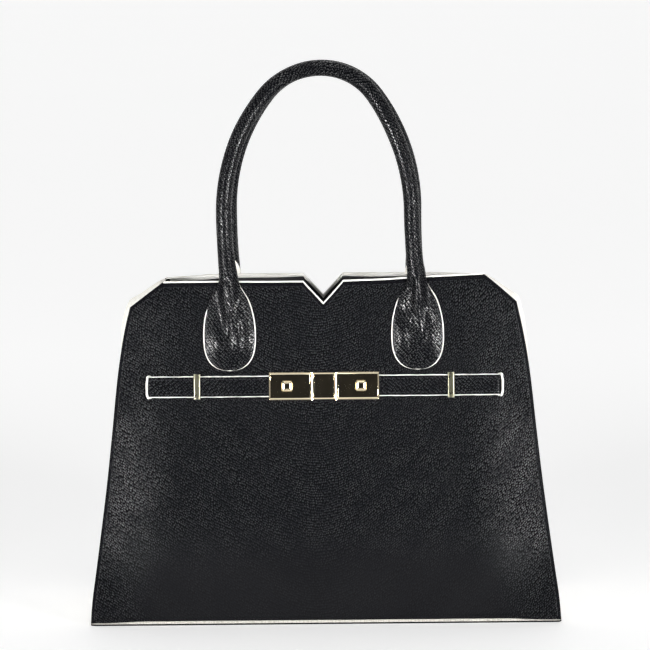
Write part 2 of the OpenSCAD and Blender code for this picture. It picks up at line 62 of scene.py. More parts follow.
BELT_DROP, STRAP_H, STRAP_T, STRAP_BACK = 0.080, 0.016, 0.0018, 0.0012
SLOT_X, SLOT_W, SLOT_H, TAIL_L = 0.1336, 0.0038, 0.0176, 0.014
STRAP_START_X = 0.0347
BEAD_R = 0.00052
ROLL_SLOPE, ROLL_START, ROLL_END = 0.19, 0.018, 0.062  # how the panels fall back beside their side seams
SWELL, SWELL_FOOT, SWELL_H = 0.0045, 0.002, 0.156  # how they stand out low down
FOOT_DROP, CORNER_DROP = 0.0004, 0.0011
TAB_SEAM_INSET, STRAP_SEAM_INSET = 0.0022, 0.0026
ROW_STEP = 0.0042

FOOT_Z = SOLE_T + BASE_T
LEAN = math.atan2((BASE_D - MOUTH_D) / 2, BODY_H - FOOT_Z)
PANEL_L = (BODY_H - FOOT_Z) / math.cos(LEAN)
SHOULDER_U = PANEL_L - SHOULDER_DROP
BELT_U = PANEL_L - BELT_DROP
SHOULDER_FACTOR = math.hypot((SHOULDER_W - TOP_W) / 2, SHOULDER_DROP) / SHOULDER_DROP
NECK_U = PANEL_L + TUBE_R + 0.0003
NECK_OUT = TAB_T

# Shares that shape the outlines
SIDE_SHARES = (
    (0, 1), (0.03, 0.99), (0.17, 0.865), (0.43, 0.61), (0.68, 0.4), (0.81, 0.285), (0.94, 0.115), (1, 0),
)
TAB_SHARES = (
    (0, 0.0), (0.003, 0.15), (0.012, 0.32), (0.03, 0.5), (0.06, 0.65), (0.1, 0.77), (0.147, 0.87), (0.213, 0.945),
    (0.28, 0.985), (0.37, 1),
    (0.48, 0.99), (0.58, 0.95), (0.67, 0.88), (0.75, 0.8), (0.82, 0.7), (0.88, 0.58), (0.94, 0.46), (1, 0.39),
    (1.05, 0.37),
)


def smooth_line(x, table):
    """Value at x of a smooth curve through the table's points, with no overshoot."""
    xs, ys = (np.array(v, float) for v in zip(*table))
    steps = np.diff(ys) / np.diff(xs)
    slopes = np.concatenate([[steps[0]], (steps[1:] + steps[:-1]) / 2, [steps[-1]]])
    slopes[1:-1][steps[1:] * steps[:-1] <= 0] = 0
    for i, step in enumerate(steps):
        slopes[i] = np.clip(slopes[i], min(0, 3 * step), max(0, 3 * step))
        slopes[i + 1] = np.clip(slopes[i + 1], min(0, 3 * step), max(0, 3 * step))
    x = np.clip(np.asarray(x, float), xs[0], xs[-1])
    i = np.clip(np.searchsorted(xs, x, side="right") - 1, 0, len(xs) - 2)
    width = xs[i + 1] - xs[i]
    t = (x - xs[i]) / width
    return (
        (1 + 2 * t) * (1 - t) ** 2 * ys[i]
        + t * (1 - t) ** 2 * width * slopes[i]
        + t * t * (3 - 2 * t) * ys[i + 1]
        + t * t * (t - 1) * width * slopes[i + 1]
    )


def ramp(x, low, high):
    """0 below low, 1 above high, and smooth between them."""
    t = np.clip((np.asarray(x, float) - low) / (high - low), 0, 1)
    return t * t * (3 - 2 * t)


# Places on the bag


def tilted(x, up, out, start, tilt, back):
    """Places that lie across, up and out from a line across the bag, on a plane that leans back by tilt."""
    x, up, out = np.broadcast_arrays(*(np.asarray(v, float) for v in (x, up, out)))
    place = np.stack(
        [
            x,
            start[0] + up * math.sin(tilt) - out * math.cos(tilt),
            start[1] + up * math.cos(tilt) + out * math.sin(tilt),
        ],
        -1,
    )
    return turned(place, back)


def turned(places, back):
    """Places of the front, turned round to the back of the bag if wanted."""
    return places * (-1, -1, 1) if back else places


def on_panel(x, up, out, back=False):
    """Places on the front panel, or turned round to the back one: across, up the panel and out from its face."""
    return tilted(x, up, out, (-BASE_D / 2, FOOT_Z), LEAN, back)


def panel_out(back=False):
    """The direction straight out from a panel's face."""
    return on_panel(0, 0, 1, back) - on_panel(0, 0, 0, back)


NECK = on_panel(0, NECK_U, NECK_OUT)
HANDLE_LEAN = math.asin((-NECK[1] - TUBE_R - CROWN_GAP / 2) / (LEG_L + ARCH_RISE))


def on_handle(x, up, out, back=False):
    """Places on a handle: across, up from its necks and out from its plane."""
    return tilted(x, up, out, (NECK[1], NECK[2]), HANDLE_LEAN, back)


def in_panel(points):
    """Across, up and out from the front panel of places in the bag."""
    away = np.asarray(points, float) - (0, -BASE_D / 2, FOOT_Z)
    return (
        away[:, 0],
        away[:, 1] * math.sin(LEAN) + away[:, 2] * math.cos(LEAN),
        away[:, 2] * math.sin(LEAN) - away[:, 1] * math.cos(LEAN),
    )


def half_width(up):
    """Half the width of a panel at a height up it."""
    side = smooth_line(np.clip(up, 0, SHOULDER_U) / SHOULDER_U, SIDE_SHARES)
    shoulder = np.clip((np.asarray(up, float) - SHOULDER_U) / SHOULDER_DROP, 0, 1)
    return SHOULDER_W / 2 + side * (BASE_W - SHOULDER_W) / 2 - shoulder * (SHOULDER_W - TOP_W) / 2


def top_drop(x):
    """How far the top edge drops at x, in the notch."""
    return NOTCH_DEPTH * np.clip(1 - np.abs(x) / (NOTCH_W / 2), 0, 1)


def edge_lift(x, up, back=False):
    """How much higher the soft top of a panel stands: the front's right end is pulled up, the back's ends sag."""
    if back:
        lift = 0.0004 - 0.0014 * ramp(np.abs(x), 0.075, TOP_W / 2) * (0.6 + 0.4 * ramp(x, -0.02, 0.02))
    else:
        lift = 0.0445 * np.clip(x - 0.008, 0, None) + 0.0005 * ramp(-x, 0.03, 0.1)
        lift -= 0.0004 * np.exp(-(((x - 0.047) / 0.02) ** 2))
    return lift * ramp(up, PANEL_L - 0.035, PANEL_L + 0.004)


def side_roll(across, up):
    """How far a panel falls back towards its side seams: at one slope beside the seam, and not at all further in."""
    away = np.clip(half_width(up) - np.abs(across), 0, None)
    start, wide = ROLL_START, ROLL_END - ROLL_START
    t = np.clip((away - start) / wide, 0, 1)
    slope = ROLL_SLOPE * ramp(up, 0.004, 0.060) * (1 - 0.42 * ramp(up, 0.145, 0.172))
    return slope * (np.clip(start - away, 0, None) + wide * (0.5 - t + t**3 - t**4 / 2))


def panel_bow(across, up):
    """How far the leather stands out from the flat panel: full low down, flat at the belt, back at the sides."""
    share = np.clip(across / half_width(up), -1, 1)
    low = SWELL * np.sin(math.pi * np.clip((up - SWELL_FOOT) / SWELL_H, 0, 1)) ** 1.2 * (1 - share**2)
    waves = 0.00016 * np.sin(across * 43 + 0.7) * np.sin(up * 52 + 1.9) + 0.0001 * np.sin(across * 91 + up * 64)
    return low - side_roll(across, up) + waves * (1 - ramp(up, 0.150, 0.164))


def tab_half_width(share):
    return smooth_line(share, TAB_SHARES) * TAB_W / 2


# Meshes


def add_object(name, data):
    """A mesh, a light or a camera placed in the scene."""
    made = bpy.data.objects.new(name, data)
    bpy.context.scene.collection.objects.link(made)
    return made


def add_piece(name, points, faces, material):
    """A mesh object from points and faces, its faces pointing outwards."""
    mesh = bpy.data.meshes.new(name)
    mesh.from_pydata(np.asarray(points, float).reshape(-1, 3).tolist(), [], faces)
    shell = bmesh.new()
    shell.from_mesh(mesh)
    bmesh.ops.recalc_face_normals(shell, faces=shell.faces)
    shell.to_mesh(mesh)
    shell.free()
    mesh.shade_smooth()
    mesh.materials.append(material)
    return add_object(name, mesh)


def declare(piece, body, slot_name, *cad_names):
    """Attaches a piece to the body it rides on and hides the CAD nodes it stands for; the slot name is not used."""
    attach(piece, body)
    if cad_names:
        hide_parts(*cad_names)
    return piece


def own_places(piece):
    """The places of a mesh's own points."""
    places = np.zeros(len(piece.data.vertices) * 3, np.float32)
    piece.data.vertices.foreach_get("co", places)
    return places.reshape(-1, 3)


def set_grain(piece, places):
    """Keeps where the leather's grain lies on the piece, so that it stays put when the piece bends."""
    mark = piece.data.attributes.new("grain", "FLOAT_VECTOR", "POINT")
    mark.data.foreach_set("vector", np.asarray(places, np.float32).ravel())


def set_mask(piece, name, values):
    mark = piece.data.attributes.new(name, "FLOAT", "POINT")
    mark.data.foreach_set("value", np.asarray(values, np.float32).ravel())


def set_weave_map(piece, across, along):
    """A UV map in metres for the cloth's weave, from two numbers at each point."""
    layer = piece.data.uv_layers.new(name="weave")
    corners = np.zeros(len(piece.data.loops), np.int32)
    piece.data.loops.foreach_get("vertex_index", corners)
    flat = np.stack([np.ravel(across)[corners], np.ravel(along)[corners]], -1)
    layer.data.foreach_set("uv", flat.astype(np.float32).ravel())


def grid_faces(rows, columns):
    """Quads over a grid of points whose last column is joined to its first."""
    faces = []
    for first in range(0, (rows - 1) * columns, columns):
        for c, after in zip(range(columns), [*range(1, columns), 0]):
            faces.append((first + c, first + after, first + columns + after, first + columns + c))
    return faces


def two_sided(outer, inner):
    """Points and faces of a closed sheet between two grids that share their border."""
    rows, columns = outer.shape[:2]
    number = np.arange(rows * columns).reshape(rows, columns)
    behind = number.copy()
    behind[1:-1, 1:-1] = rows * columns + np.arange((rows - 2) * (columns - 2)).reshape(rows - 2, columns - 2)
    points = np.concatenate([outer.reshape(-1, 3), inner[1:-1, 1:-1].reshape(-1, 3)])
    faces = []
    for r in range(rows - 1):
        for c in range(columns - 1):
            ring = [(r, c), (r, c + 1), (r + 1, c + 1), (r + 1, c)]
            faces.append(tuple(int(number[p]) for p in ring))
            faces.append(tuple(int(behind[p]) for p in ring[::-1]))
    return points, faces


def both_sides(values):
    """Values on a grid, in the order of the points of two_sided."""
    return np.concatenate([np.ravel(values), np.ravel(values[1:-1, 1:-1])])


def loft(rings, closed=False):
    """Points and faces of a solid through rings of equal counts, with its ends capped unless closed."""
    rings = np.asarray(rings, float)
    count, sides = rings.shape[:2]
    faces = grid_faces(count, sides)
    if closed:
        last = (count - 1) * sides
        faces += [(last + i, last + (i + 1) % sides, (i + 1) % sides, i) for i in range(sides)]
    else:
        faces += [tuple(range(sides))[::-1], tuple((count - 1) * sides + i for i in range(sides))]
    return rings.reshape(-1, 3), faces


def sweep(path, side, out, section, scale=None, closed=False):
    """A section, given as side and out offsets, carried along a path."""
    path, side, out, section = (np.asarray(v, float) for v in (path, side, out, section))
    side, out = np.broadcast_to(side, path.shape), np.broadcast_to(out, path.shape)
    size = np.ones(len(path)) if scale is None else np.asarray(scale, float)
    rings = (
        path[:, None]
        + side[:, None] * section[None, :, :1] * size[:, None, None]
        + out[:, None] * section[None, :, 1:] * size[:, None, None]
    )
    return loft(rings, closed)


def full_turn(count):
    """Angles at even steps of one turn."""
    return np.arange(count) * 2 * math.pi / count


def rounded(wave, half, power):
    """A sine or cosine as a half width, drawn out by its power towards the side of a rounded square."""
    return half * np.sign(wave) * np.abs(wave) ** power


def lengths_along(line):
    """How far along a line each of its points lies."""
    return np.concatenate([[0], np.cumsum(np.linalg.norm(np.diff(line, axis=0), axis=1))])


def even_steps(line, spacing):
    """The line's points moved to even steps along it."""
    line = np.asarray(line, float)
    lengths = lengths_along(line)
    count = max(2, int(round(lengths[-1] / spacing)) + 1)
    wanted = np.linspace(0, lengths[-1], count)
    return np.stack([np.interp(wanted, lengths, line[:, k]) for k in range(line.shape[1])], -1)


def inset_line(line, inset):
    """A flat line moved sideways to its left by inset, with mitred corners."""
    line = np.asarray(line, float)
    run = np.diff(line, axis=0)
    run /= np.linalg.norm(run, axis=1)[:, None]
    left = np.stack([-run[:, 1], run[:, 0]], -1)
    before, after = np.concatenate([left[:1], left]), np.concatenate([left, left[-1:]])
    middle = before + after
    middle /= np.linalg.norm(middle, axis=1)[:, None]
    return line + middle * (inset / np.sum(middle * before, axis=1))[:, None]


def run_of(path):
    """Direction of a path at each of its points."""
    run = np.gradient(np.asarray(path, float), axis=0)
    return run / np.linalg.norm(run, axis=1)[:, None]


def bead(name, path, out, scale=None, closed=False):
    """A round bead of edge paint along a path, out being the surface's own direction."""
    path = np.asarray(path, float)
    run = run_of(path)
    side = np.cross(run, np.broadcast_to(np.asarray(out, float), path.shape))
    side /= np.linalg.norm(side, axis=1)[:, None]
    turn = full_turn(10)
    section = np.stack([BEAD_R * np.cos(turn), BEAD_R * np.sin(turn)], -1)
    return add_piece(name, *sweep(path, side, np.cross(side, run), section, scale, closed), edge_paint)


# Shader node groups


def join(tree, sockets, inputs):
    """Gives each named socket its value, or joins it to the output that is given."""
    for key, value in inputs.items():
        if isinstance(value, bpy.types.NodeSocket):
            tree.links.new(value, sockets[key])
        else:
            sockets[key].default_value = value


def add_node(tree, kind, inputs=None, **settings):
    """A node with its settings, its inputs set or joined."""
    made = tree.nodes.new(kind)
    for key, value in settings.items():
        setattr(made, key, value)
    join(tree, made.inputs, inputs or {})
    return made


def sums(tree, operation, a, b=0.0, c=0.0):
    return add_node(tree, "ShaderNodeMath", {0: a, 1: b, 2: c}, operation=operation).outputs[0]


def times(tree, a, b):
    return sums(tree, "MULTIPLY", a, b)


def vectors(tree, operation, inputs):
    return add_node(tree, "ShaderNodeVectorMath", inputs, operation=operation).outputs[0]


def scaled(tree, value, low, high, to_low=0.0, to_high=1.0):
    """A value mapped smoothly from one range to another."""
    inputs = {0: value, 1: low, 2: high, 3: to_low, 4: to_high}
    return add_node(tree, "ShaderNodeMapRange", inputs, interpolation_type="SMOOTHSTEP").outputs[0]


def noise(tree, place, scale, detail, **settings):
    """Noise over a place, with as many cells per metre as scale says."""
    inputs = {"Vector": place, "Scale": scale, "Detail": detail}
    return add_node(tree, "ShaderNodeTexNoise", inputs, **settings).outputs[0]


def object_place(tree):
    return add_node(tree, "ShaderNodeTexCoord").outputs["Object"]


def mask(tree, name):
    """A mask that the mesh carries."""
    return add_node(tree, "ShaderNodeAttribute", attribute_name=name).outputs["Fac"]


def new_effect(name, inputs, outputs):
    """An empty shader node group that takes a place and more named inputs, and gives named values."""
    tree = bpy.data.node_groups.new(name, "ShaderNodeTree")
    tree.interface.new_socket("Place", in_out="INPUT", socket_type="NodeSocketVector")
    for label, value in inputs.items():
        kind = "NodeSocketVector" if isinstance(value, tuple) else "NodeSocketFloat"
        tree.interface.new_socket(label, in_out="INPUT", socket_type=kind).default_value = value
    for label in outputs:
        tree.interface.new_socket(label, in_out="OUTPUT", socket_type="NodeSocketFloat")
    return tree, tree.nodes.new("NodeGroupInput").outputs, tree.nodes.new("NodeGroupOutput").inputs


def pebble_grain():
    """Rounded pebbles of leather in wandering rows, with the creases between them and the shine on their tops."""
    tree, given, result = new_effect("pebble grain", {"Cells per metre": 500.0}, ("Height", "Crease", "Shine", "Tone"))
    cells, start = given["Cells per metre"], given["Place"]
    drift = add_node(
        tree, "ShaderNodeTexNoise", {"Vector": start, "Scale": times(tree, cells, 0.07), "Detail": 2.0},
        noise_dimensions="2D",
    ).outputs["Color"]
    centred = vectors(tree, "SUBTRACT", {0: drift, 1: (0.5, 0.5, 0.5)})
    shift = vectors(tree, "SCALE", {0: centred, "Scale": sums(tree, "DIVIDE", 2.6, cells)})
    moved = vectors(tree, "ADD", {0: start, 1: shift})
    lay = {"Vector": moved, "Rotation": (0.0, 0.0, GRAIN_TURN), "Scale": (1.35, 0.85, 1.0)}
    place = add_node(tree, "ShaderNodeMapping", lay, vector_type="TEXTURE").outputs[0]
    pebbles = add_node(
        tree, "ShaderNodeTexVoronoi", {"Vector": place, "Scale": cells, "Smoothness": 0.2, "Randomness": 0.52},
        feature="SMOOTH_F1", voronoi_dimensions="2D",
    ).outputs
    mottle = add_node(tree, "ShaderNodeSeparateColor", {0: pebbles["Color"]}).outputs[0]
    middle = pebbles["Distance"]
    pores = noise(tree, place, times(tree, cells, 1.9), 2.0, noise_dimensions="2D")
    patches = noise(tree, start, times(tree, cells, 0.08), 3.0, noise_dimensions="2D")
    strength = scaled(tree, patches, 0.3, 0.7, 0.6, 1.1)
    dome = scaled(tree, middle, 0.62, 0.02)
    worn = times(tree, scaled(tree, middle, 0.40, 0.12), scaled(tree, mottle, 0.1, 0.95, 0.5, 1.4))
    join(tree, result, {
        "Height": sums(tree, "MULTIPLY_ADD", dome, strength, times(tree, pores, 0.25)),
        "Crease": scaled(tree, middle, 0.36, 0.6),
        "Shine": times(tree, worn, strength),
        "Tone": patches,
    })
    return tree


def soft_creases():
    """Fine creases that run across one direction, as leather has where it is bent."""
    tree, given, result = new_effect("soft creases", {"Stretch": (300.0, 40.0, 40.0)}, ("Height",))
    drawn = vectors(tree, "MULTIPLY", {0: given["Place"], 1: given["Stretch"]})
    folds = add_node(
        tree, "ShaderNodeTexNoise",
        {"Vector": drawn, "Scale": 1.0, "Detail": 3.0, "Roughness": 0.55, "Distortion": 0.6},
    )
    ridge = sums(tree, "ABSOLUTE", sums(tree, "SUBTRACT", folds.outputs[0], 0.5))
    join(tree, result, {"Height": scaled(tree, ridge, 0.0, 0.09)})
    return tree


def hair_scratches():
    """Hair-fine scratches in two directions and a faint unevenness of polish."""
    tree, given, result = new_effect("hair scratches", {}, ("Scratch", "Haze"))
    lines = []
    for turn, stretch in ((0.5, (9000.0, 160.0, 9000.0)), (-0.9, (140.0, 8000.0, 8000.0))):
        lay = {"Vector": given["Place"], "Rotation": (0.0, turn, 0.0), "Scale": stretch}
        laid = add_node(tree, "ShaderNodeMapping", lay).outputs[0]
        lines.append(scaled(tree, noise(tree, laid, 1.0, 2.0), 0.62, 0.75))
    haze = noise(tree, given["Place"], 180.0, 4.0)
    join(tree, result, {"Scratch": sums(tree, "MAXIMUM", *lines), "Haze": haze})
    return tree


def twill_weave():
    """Diagonal ribs of a fine twill, one thread over two."""
    tree, given, result = new_effect("twill weave", {"Threads per metre": 1600.0}, ("Height", "Tone"))
    drawn = vectors(tree, "SCALE", {0: given["Place"], "Scale": given["Threads per metre"]})
    x, y = add_node(tree, "ShaderNodeSeparateXYZ", {0: drawn}).outputs[:2]
    warp, weft = (sums(tree, "ABSOLUTE", sums(tree, "SINE", times(tree, v, math.pi))) for v in (x, y))
    step = sums(tree, "ADD", sums(tree, "FLOOR", x), sums(tree, "FLOOR", y))
    over = sums(tree, "LESS_THAN", sums(tree, "MODULO", sums(tree, "ADD", step, 3000.0), 3.0), 0.9)
    mixed = add_node(tree, "ShaderNodeMix", {0: over, 2: warp, 3: weft}, data_type="FLOAT").outputs[0]
    join(tree, result, {"Height": mixed, "Tone": noise(tree, drawn, 0.06, 3.0)})
    return tree


GRAIN_TURN = 0.85
GRAIN, CREASES, SCRATCHES, TWILL = pebble_grain(), soft_creases(), hair_scratches(), twill_weave()


# Materials


def new_material(name, inputs=None):
    """A material with a Principled shader whose constant inputs are set."""
    made = bpy.data.materials.new(name)
    made.use_nodes = True
    tree = made.node_tree
    tree.nodes.clear()
    shader = add_node(tree, "ShaderNodeBsdfPrincipled", inputs)
    add_node(tree, "ShaderNodeOutputMaterial", {"Surface": shader.outputs[0]})
    return made, tree, shader.inputs


def use(tree, effect, inputs):
    """An effect placed in a material with its own values."""
    return add_node(tree, "ShaderNodeGroup", inputs, node_tree=effect).outputs


def mixed_colour(tree, share, first, second):
    return add_node(tree, "ShaderNodeMix", {0: share, 6: first, 7: second}, data_type="RGBA").outputs[2]


def tint(tree, share, first, second):
    """A colour between two, by share."""
    return mixed_colour(tree, share, (*first, 1.0), (*second, 1.0))


def bump(tree, height, depth, under=None):
    inputs = {"Height": height, "Distance": depth, "Strength": 1.0}
    if under is not None:
        inputs["Normal"] = under
    return add_node(tree, "ShaderNodeBump", inputs).outputs[0]


def leather(name, colours, cells, depth, dull, crease_stretch, crease_depth, bent=False, shine=1.0, gloss=0.43):
    """Pebbled leather: its grain's creases darkened as painted shade, its tops shiny, with bending creases and a plain
    pressed edge.
    Bent leather creases only where it is bent, and shows its cream inside where the mesh says so."""
    made, tree, shader = new_material(
        name, {"Specular IOR Level": 0.05, "IOR": 1.48, "Coat Roughness": gloss, "Coat IOR": 1.55}
    )
    place = add_node(tree, "ShaderNodeAttribute", attribute_name="grain").outputs["Vector"]
    grain = use(tree, GRAIN, {"Place": place, "Cells per metre": cells})
    folds = use(tree, CREASES, {"Place": place, "Stretch": crease_stretch})["Height"]
    wide = noise(tree, place, 16.0, 4.0)
    left = sums(tree, "MULTIPLY_ADD", mask(tree, "pressed"), -0.85, 1.0)
    # Painted shade darkens the grain's creases; the tone patches mixed in are the leather's own colour.
    shade = sums(tree, "MULTIPLY_ADD", grain["Crease"], 0.8, times(tree, grain["Tone"], 0.3))
    colour = tint(tree, shade, *colours)
    if bent:
        folds = times(tree, folds, mask(tree, "bent"))
        lined = scaled(tree, mask(tree, "lined"), 0.49, 0.51, 0.0, 1.0)
        colour = mixed_colour(tree, lined, colour, tint(tree, shade, *CREAM))
    smoothed = mask(tree, "smoothed")
    pebbled = sums(tree, "SUBTRACT", 1.0, smoothed)
    tops = sums(tree, "MULTIPLY_ADD", grain["Shine"], pebbled, times(tree, smoothed, 0.22))
    handled = times(tree, left, scaled(tree, wide, 0.3, 0.7, 0.9 * shine, 1.1 * shine))
    relief = times(tree, grain["Height"], times(tree, left, pebbled))
    dulled = scaled(tree, wide, 0.3, 0.7, dull - 0.05, dull + 0.05)
    join(tree, shader, {
        "Base Color": colour,
        "Roughness": sums(tree, "MULTIPLY_ADD", grain["Crease"], 0.15, dulled),
        "Coat Weight": times(tree, tops, handled),
        "Normal": bump(tree, relief, depth, bump(tree, folds, crease_depth)),
    })
    return made


def painted_edge(name, light, dark):
    """Edge paint: smooth, slightly wavy and a little dulled in places."""
    made, tree, shader = new_material(name, {"Coat Weight": 0.25, "Coat Roughness": 0.25})
    place = object_place(tree)
    patches = noise(tree, place, 55.0, 4.0)
    join(tree, shader, {
        "Base Color": tint(tree, scaled(tree, patches, 0.35, 0.75), light, dark),
        "Roughness": scaled(tree, patches, 0.3, 0.7, 0.34, 0.5),
        "Normal": bump(tree, noise(tree, place, 420.0, 3.0), 0.00012),
    })
    return made


def polished_metal(name, colour, shade, low, high):
    """Polished metal with hair scratches and a faint haze."""
    made, tree, shader = new_material(name, {"Metallic": 1.0})
    marks = use(tree, SCRATCHES, {"Place": object_place(tree)})
    scratch, haze = marks["Scratch"], marks["Haze"]
    worn = sums(tree, "MULTIPLY_ADD", scratch, 0.4, times(tree, haze, 0.4))
    join(tree, shader, {
        "Base Color": tint(tree, worn, colour, shade),
        "Roughness": sums(tree, "MULTIPLY_ADD", scratch, 0.03, scaled(tree, haze, 0.3, 0.7, low, high)),
        "Normal": bump(tree, times(tree, scratch, -1.0), 0.000004),
    })
    return made


def woven(name, light, dark, threads):
    """Twill cloth on the piece's own map in metres."""
    made, tree, shader = new_material(name, {"Sheen Weight": 0.25, "Sheen Roughness": 0.5})
    place = add_node(tree, "ShaderNodeUVMap", uv_map="weave").outputs[0]
    weave = use(tree, TWILL, {"Place": place, "Threads per metre": threads})
    # Painted shade darkens the cloth between its raised threads; the tone patches are the cloth's own.
    shade = sums(tree, "MULTIPLY_ADD", weave["Height"], -0.6, sums(tree, "ADD", weave["Tone"], 0.45))
    join(tree, shader, {
        "Base Color": tint(tree, shade, light, dark),
        "Roughness": scaled(tree, weave["Tone"], 0.3, 0.7, 0.75, 0.9),
        "Normal": bump(tree, weave["Height"], 0.00012),
    })
    return made


def fibrous(name, light, dark, stretch, depth):
    """Pressed board or twisted yarn: fibres drawn out along one direction."""
    made, tree, shader = new_material(name)
    place = object_place(tree)
    drawn = add_node(tree, "ShaderNodeMapping", {"Vector": place, "Scale": stretch}).outputs[0]
    fibres = noise(tree, drawn, 1.0, 5.0)
    join(tree, shader, {
        "Base Color": tint(tree, scaled(tree, fibres, 0.35, 0.7), light, dark),
        "Roughness": scaled(tree, noise(tree, place, 900.0, 2.0), 0.3, 0.7, 0.8, 0.95),
        "Normal": bump(tree, fibres, depth),
    })
    return made


# Each leather's light and dark colour
BLACK = ((0.0030, 0.0033, 0.0048), (0.0010, 0.0011, 0.0016))
CREAM = ((0.88, 0.865, 0.82), (0.76, 0.73, 0.66))
# The base's cream is the gussets' cream leather darkened as painted shade, since the base faces away from the lights.
SHADED_BASE_CREAM = ((0.62, 0.60, 0.55), (0.50, 0.48, 0.42))

panel_leather = leather("black panel leather", BLACK, 690.0, 0.00030, 0.42, (120.0, 26.0, 26.0), 0.00005)
handle_leather = leather(
    "black handle leather", BLACK, 660.0, 0.00016, 0.42, (420.0, 55.0, 1.0), 0.00008, True, 2.3, 0.36
)
strap_leather = leather("black strap leather", BLACK, 620.0, 0.00025, 0.42, (160.0, 30.0, 30.0), 0.00005)
cream_leather, shaded_foot_leather = (
    leather(name, colours, 620.0, 0.00010, 0.5, (60.0, 60.0, 160.0), 0.00008, shine=0.3)
    for name, colours in (("cream leather", CREAM), ("cream leather with painted base shade", SHADED_BASE_CREAM))
)
sole_leather = leather("black sole leather", BLACK, 420.0, 0.00014, 0.6, (80.0, 80.0, 20.0), 0.00005, shine=0.3)
edge_paint = painted_edge("cream edge paint", (0.82, 0.81, 0.77), (0.76, 0.74, 0.68))
thread = fibrous("black waxed thread", (0.022, 0.022, 0.026), (0.008, 0.008, 0.01), (2200.0, 2200.0, 2200.0), 0.00005)
lining_cloth = woven("black twill lining", (0.03, 0.03, 0.034), (0.008, 0.008, 0.009), 1500.0)
board_card = fibrous("grey pressed board", (0.42, 0.4, 0.36), (0.26, 0.24, 0.21), (120.0, 900.0, 120.0), 0.00006)
rope_cotton = fibrous("white cotton rope", (0.78, 0.75, 0.68), (0.55, 0.51, 0.43), (700.0, 700.0, 700.0), 0.0001)
pale_gold = polished_metal("pale gold", (0.95, 0.83, 0.60), (0.80, 0.66, 0.42), 0.07, 0.12)
# The keepers' gold is darkened far below the plates' gold as painted shade; its higher roughness is a real satin
# finish.
shaded_satin_gold = polished_metal("satin gold with painted shade", (0.38, 0.365, 0.26), (0.28, 0.27, 0.19), 0.27, 0.32)
snap_steel = polished_metal("nickel steel", (0.74, 0.73, 0.70), (0.55, 0.54, 0.52), 0.2, 0.32)


# Leather panels, front and back


EDGE_STEPS = np.array([0, 0.00018, 0.00045, 0.0009, 0.0015, 0.0020, 0.0023, 0.0026, 0.0029, 0.0034, 0.0045])
EDGE_ROLL = 0.0009
SEAM_INSET, TOP_SEAM_DROP, SEAM_DEPTH, SEAM_WIDTH = 0.0026, 0.0011, 0.00022, 0.00032
PUFF_INSET, PUFF_HEIGHT, PUFF_WIDTH = 0.0011, 0.00012, 0.0006  # the leather rises a little inside its seam
PANEL_TOP = PANEL_L - CAP_T


def side_factor(up):
    """How much further a step in from the sloping shoulder reaches, measured across."""
    return 1 + (SHOULDER_FACTOR - 1) * ramp(up, SHOULDER_U - 0.0015, SHOULDER_U + 0.0015)


def panel_grid(inset=0.0, top=PANEL_TOP, steps=EDGE_STEPS, row_step=ROW_STEP):
    """Across and up of a grid over a panel, and each point's distance in from the edge."""
    deep = steps[-1] + inset
    rows = np.concatenate([steps, np.arange(deep + row_step, SHOULDER_U - 0.002, row_step), [SHOULDER_U]])
    rows = np.concatenate([rows, np.linspace(SHOULDER_U, top - steps[-1], 4)[1:-1], (top - steps)[::-1]])
    top_half = TOP_W / 2 - deep * SHOULDER_FACTOR
    kink = NOTCH_W / 2
    inner = np.concatenate([np.linspace(0, kink, 5), np.linspace(kink, top_half, 24)[1:]])
    inner = np.concatenate([-inner[:0:-1], inner])
    up = rows[:, None] * np.ones(len(inner) + 2 * len(steps) - 2)
    wide = half_width(rows)[:, None]
    reach = side_factor(rows)[:, None]
    limit = wide - reach * deep
    middle = inner * (1 + (limit / top_half - 1) * (inner / top_half) ** 2)
    edge = wide - reach * (steps[None, :-1] + inset)
    across = np.concatenate([-edge, middle, edge[:, ::-1]], axis=1)
    lifted = np.clip((rows - (top - 0.06)) / (0.06 - steps[-1]), 0, 1)[:, None]
    up = up - top_drop(across) * lifted
    columns = np.concatenate([steps[:-1], np.full(len(inner), 1.0), steps[:-1][::-1]])
    from_foot = np.where(rows < steps[-1], rows, 1.0)
    from_top = np.where(rows > top - steps[-1], top - rows, 1.0)
    distance = np.minimum(np.minimum(from_foot, from_top)[:, None], columns[None, :])
    return across, up, distance


def edge_roll(distance):
    """How far a rounded edge falls back, close to the edge."""
    near = np.clip(EDGE_ROLL - distance, 0, EDGE_ROLL)
    return np.sqrt(EDGE_ROLL**2 - near**2) - EDGE_ROLL


def foot_drop(across):
    """How far the foot of a panel reaches down over the base."""
    return FOOT_DROP + CORNER_DROP * ramp(np.abs(across), 0.135, 0.168)


def leather_panel(name, back):
    """A closed leather shell with rounded, turned edges and a seam pressed in beside them."""
    across, up, distance = panel_grid()
    bow = panel_bow(across, up)
    seam = -SEAM_DEPTH * np.exp(-(((distance - SEAM_INSET) / SEAM_WIDTH) ** 2))
    padded = PUFF_HEIGHT * np.exp(-(((distance - SEAM_INSET - PUFF_INSET) / PUFF_WIDTH) ** 2))
    face = bow + seam + padded + edge_roll(distance)
    behind = -PANEL_T + bow
    up = up + edge_lift(across, up, back) - foot_drop(across) * (1 - ramp(up, 0.0, 0.02))
    points, faces = two_sided(on_panel(across, up, face, back), on_panel(across, up, behind, back))
    return add_piece(name, points, faces, panel_leather)


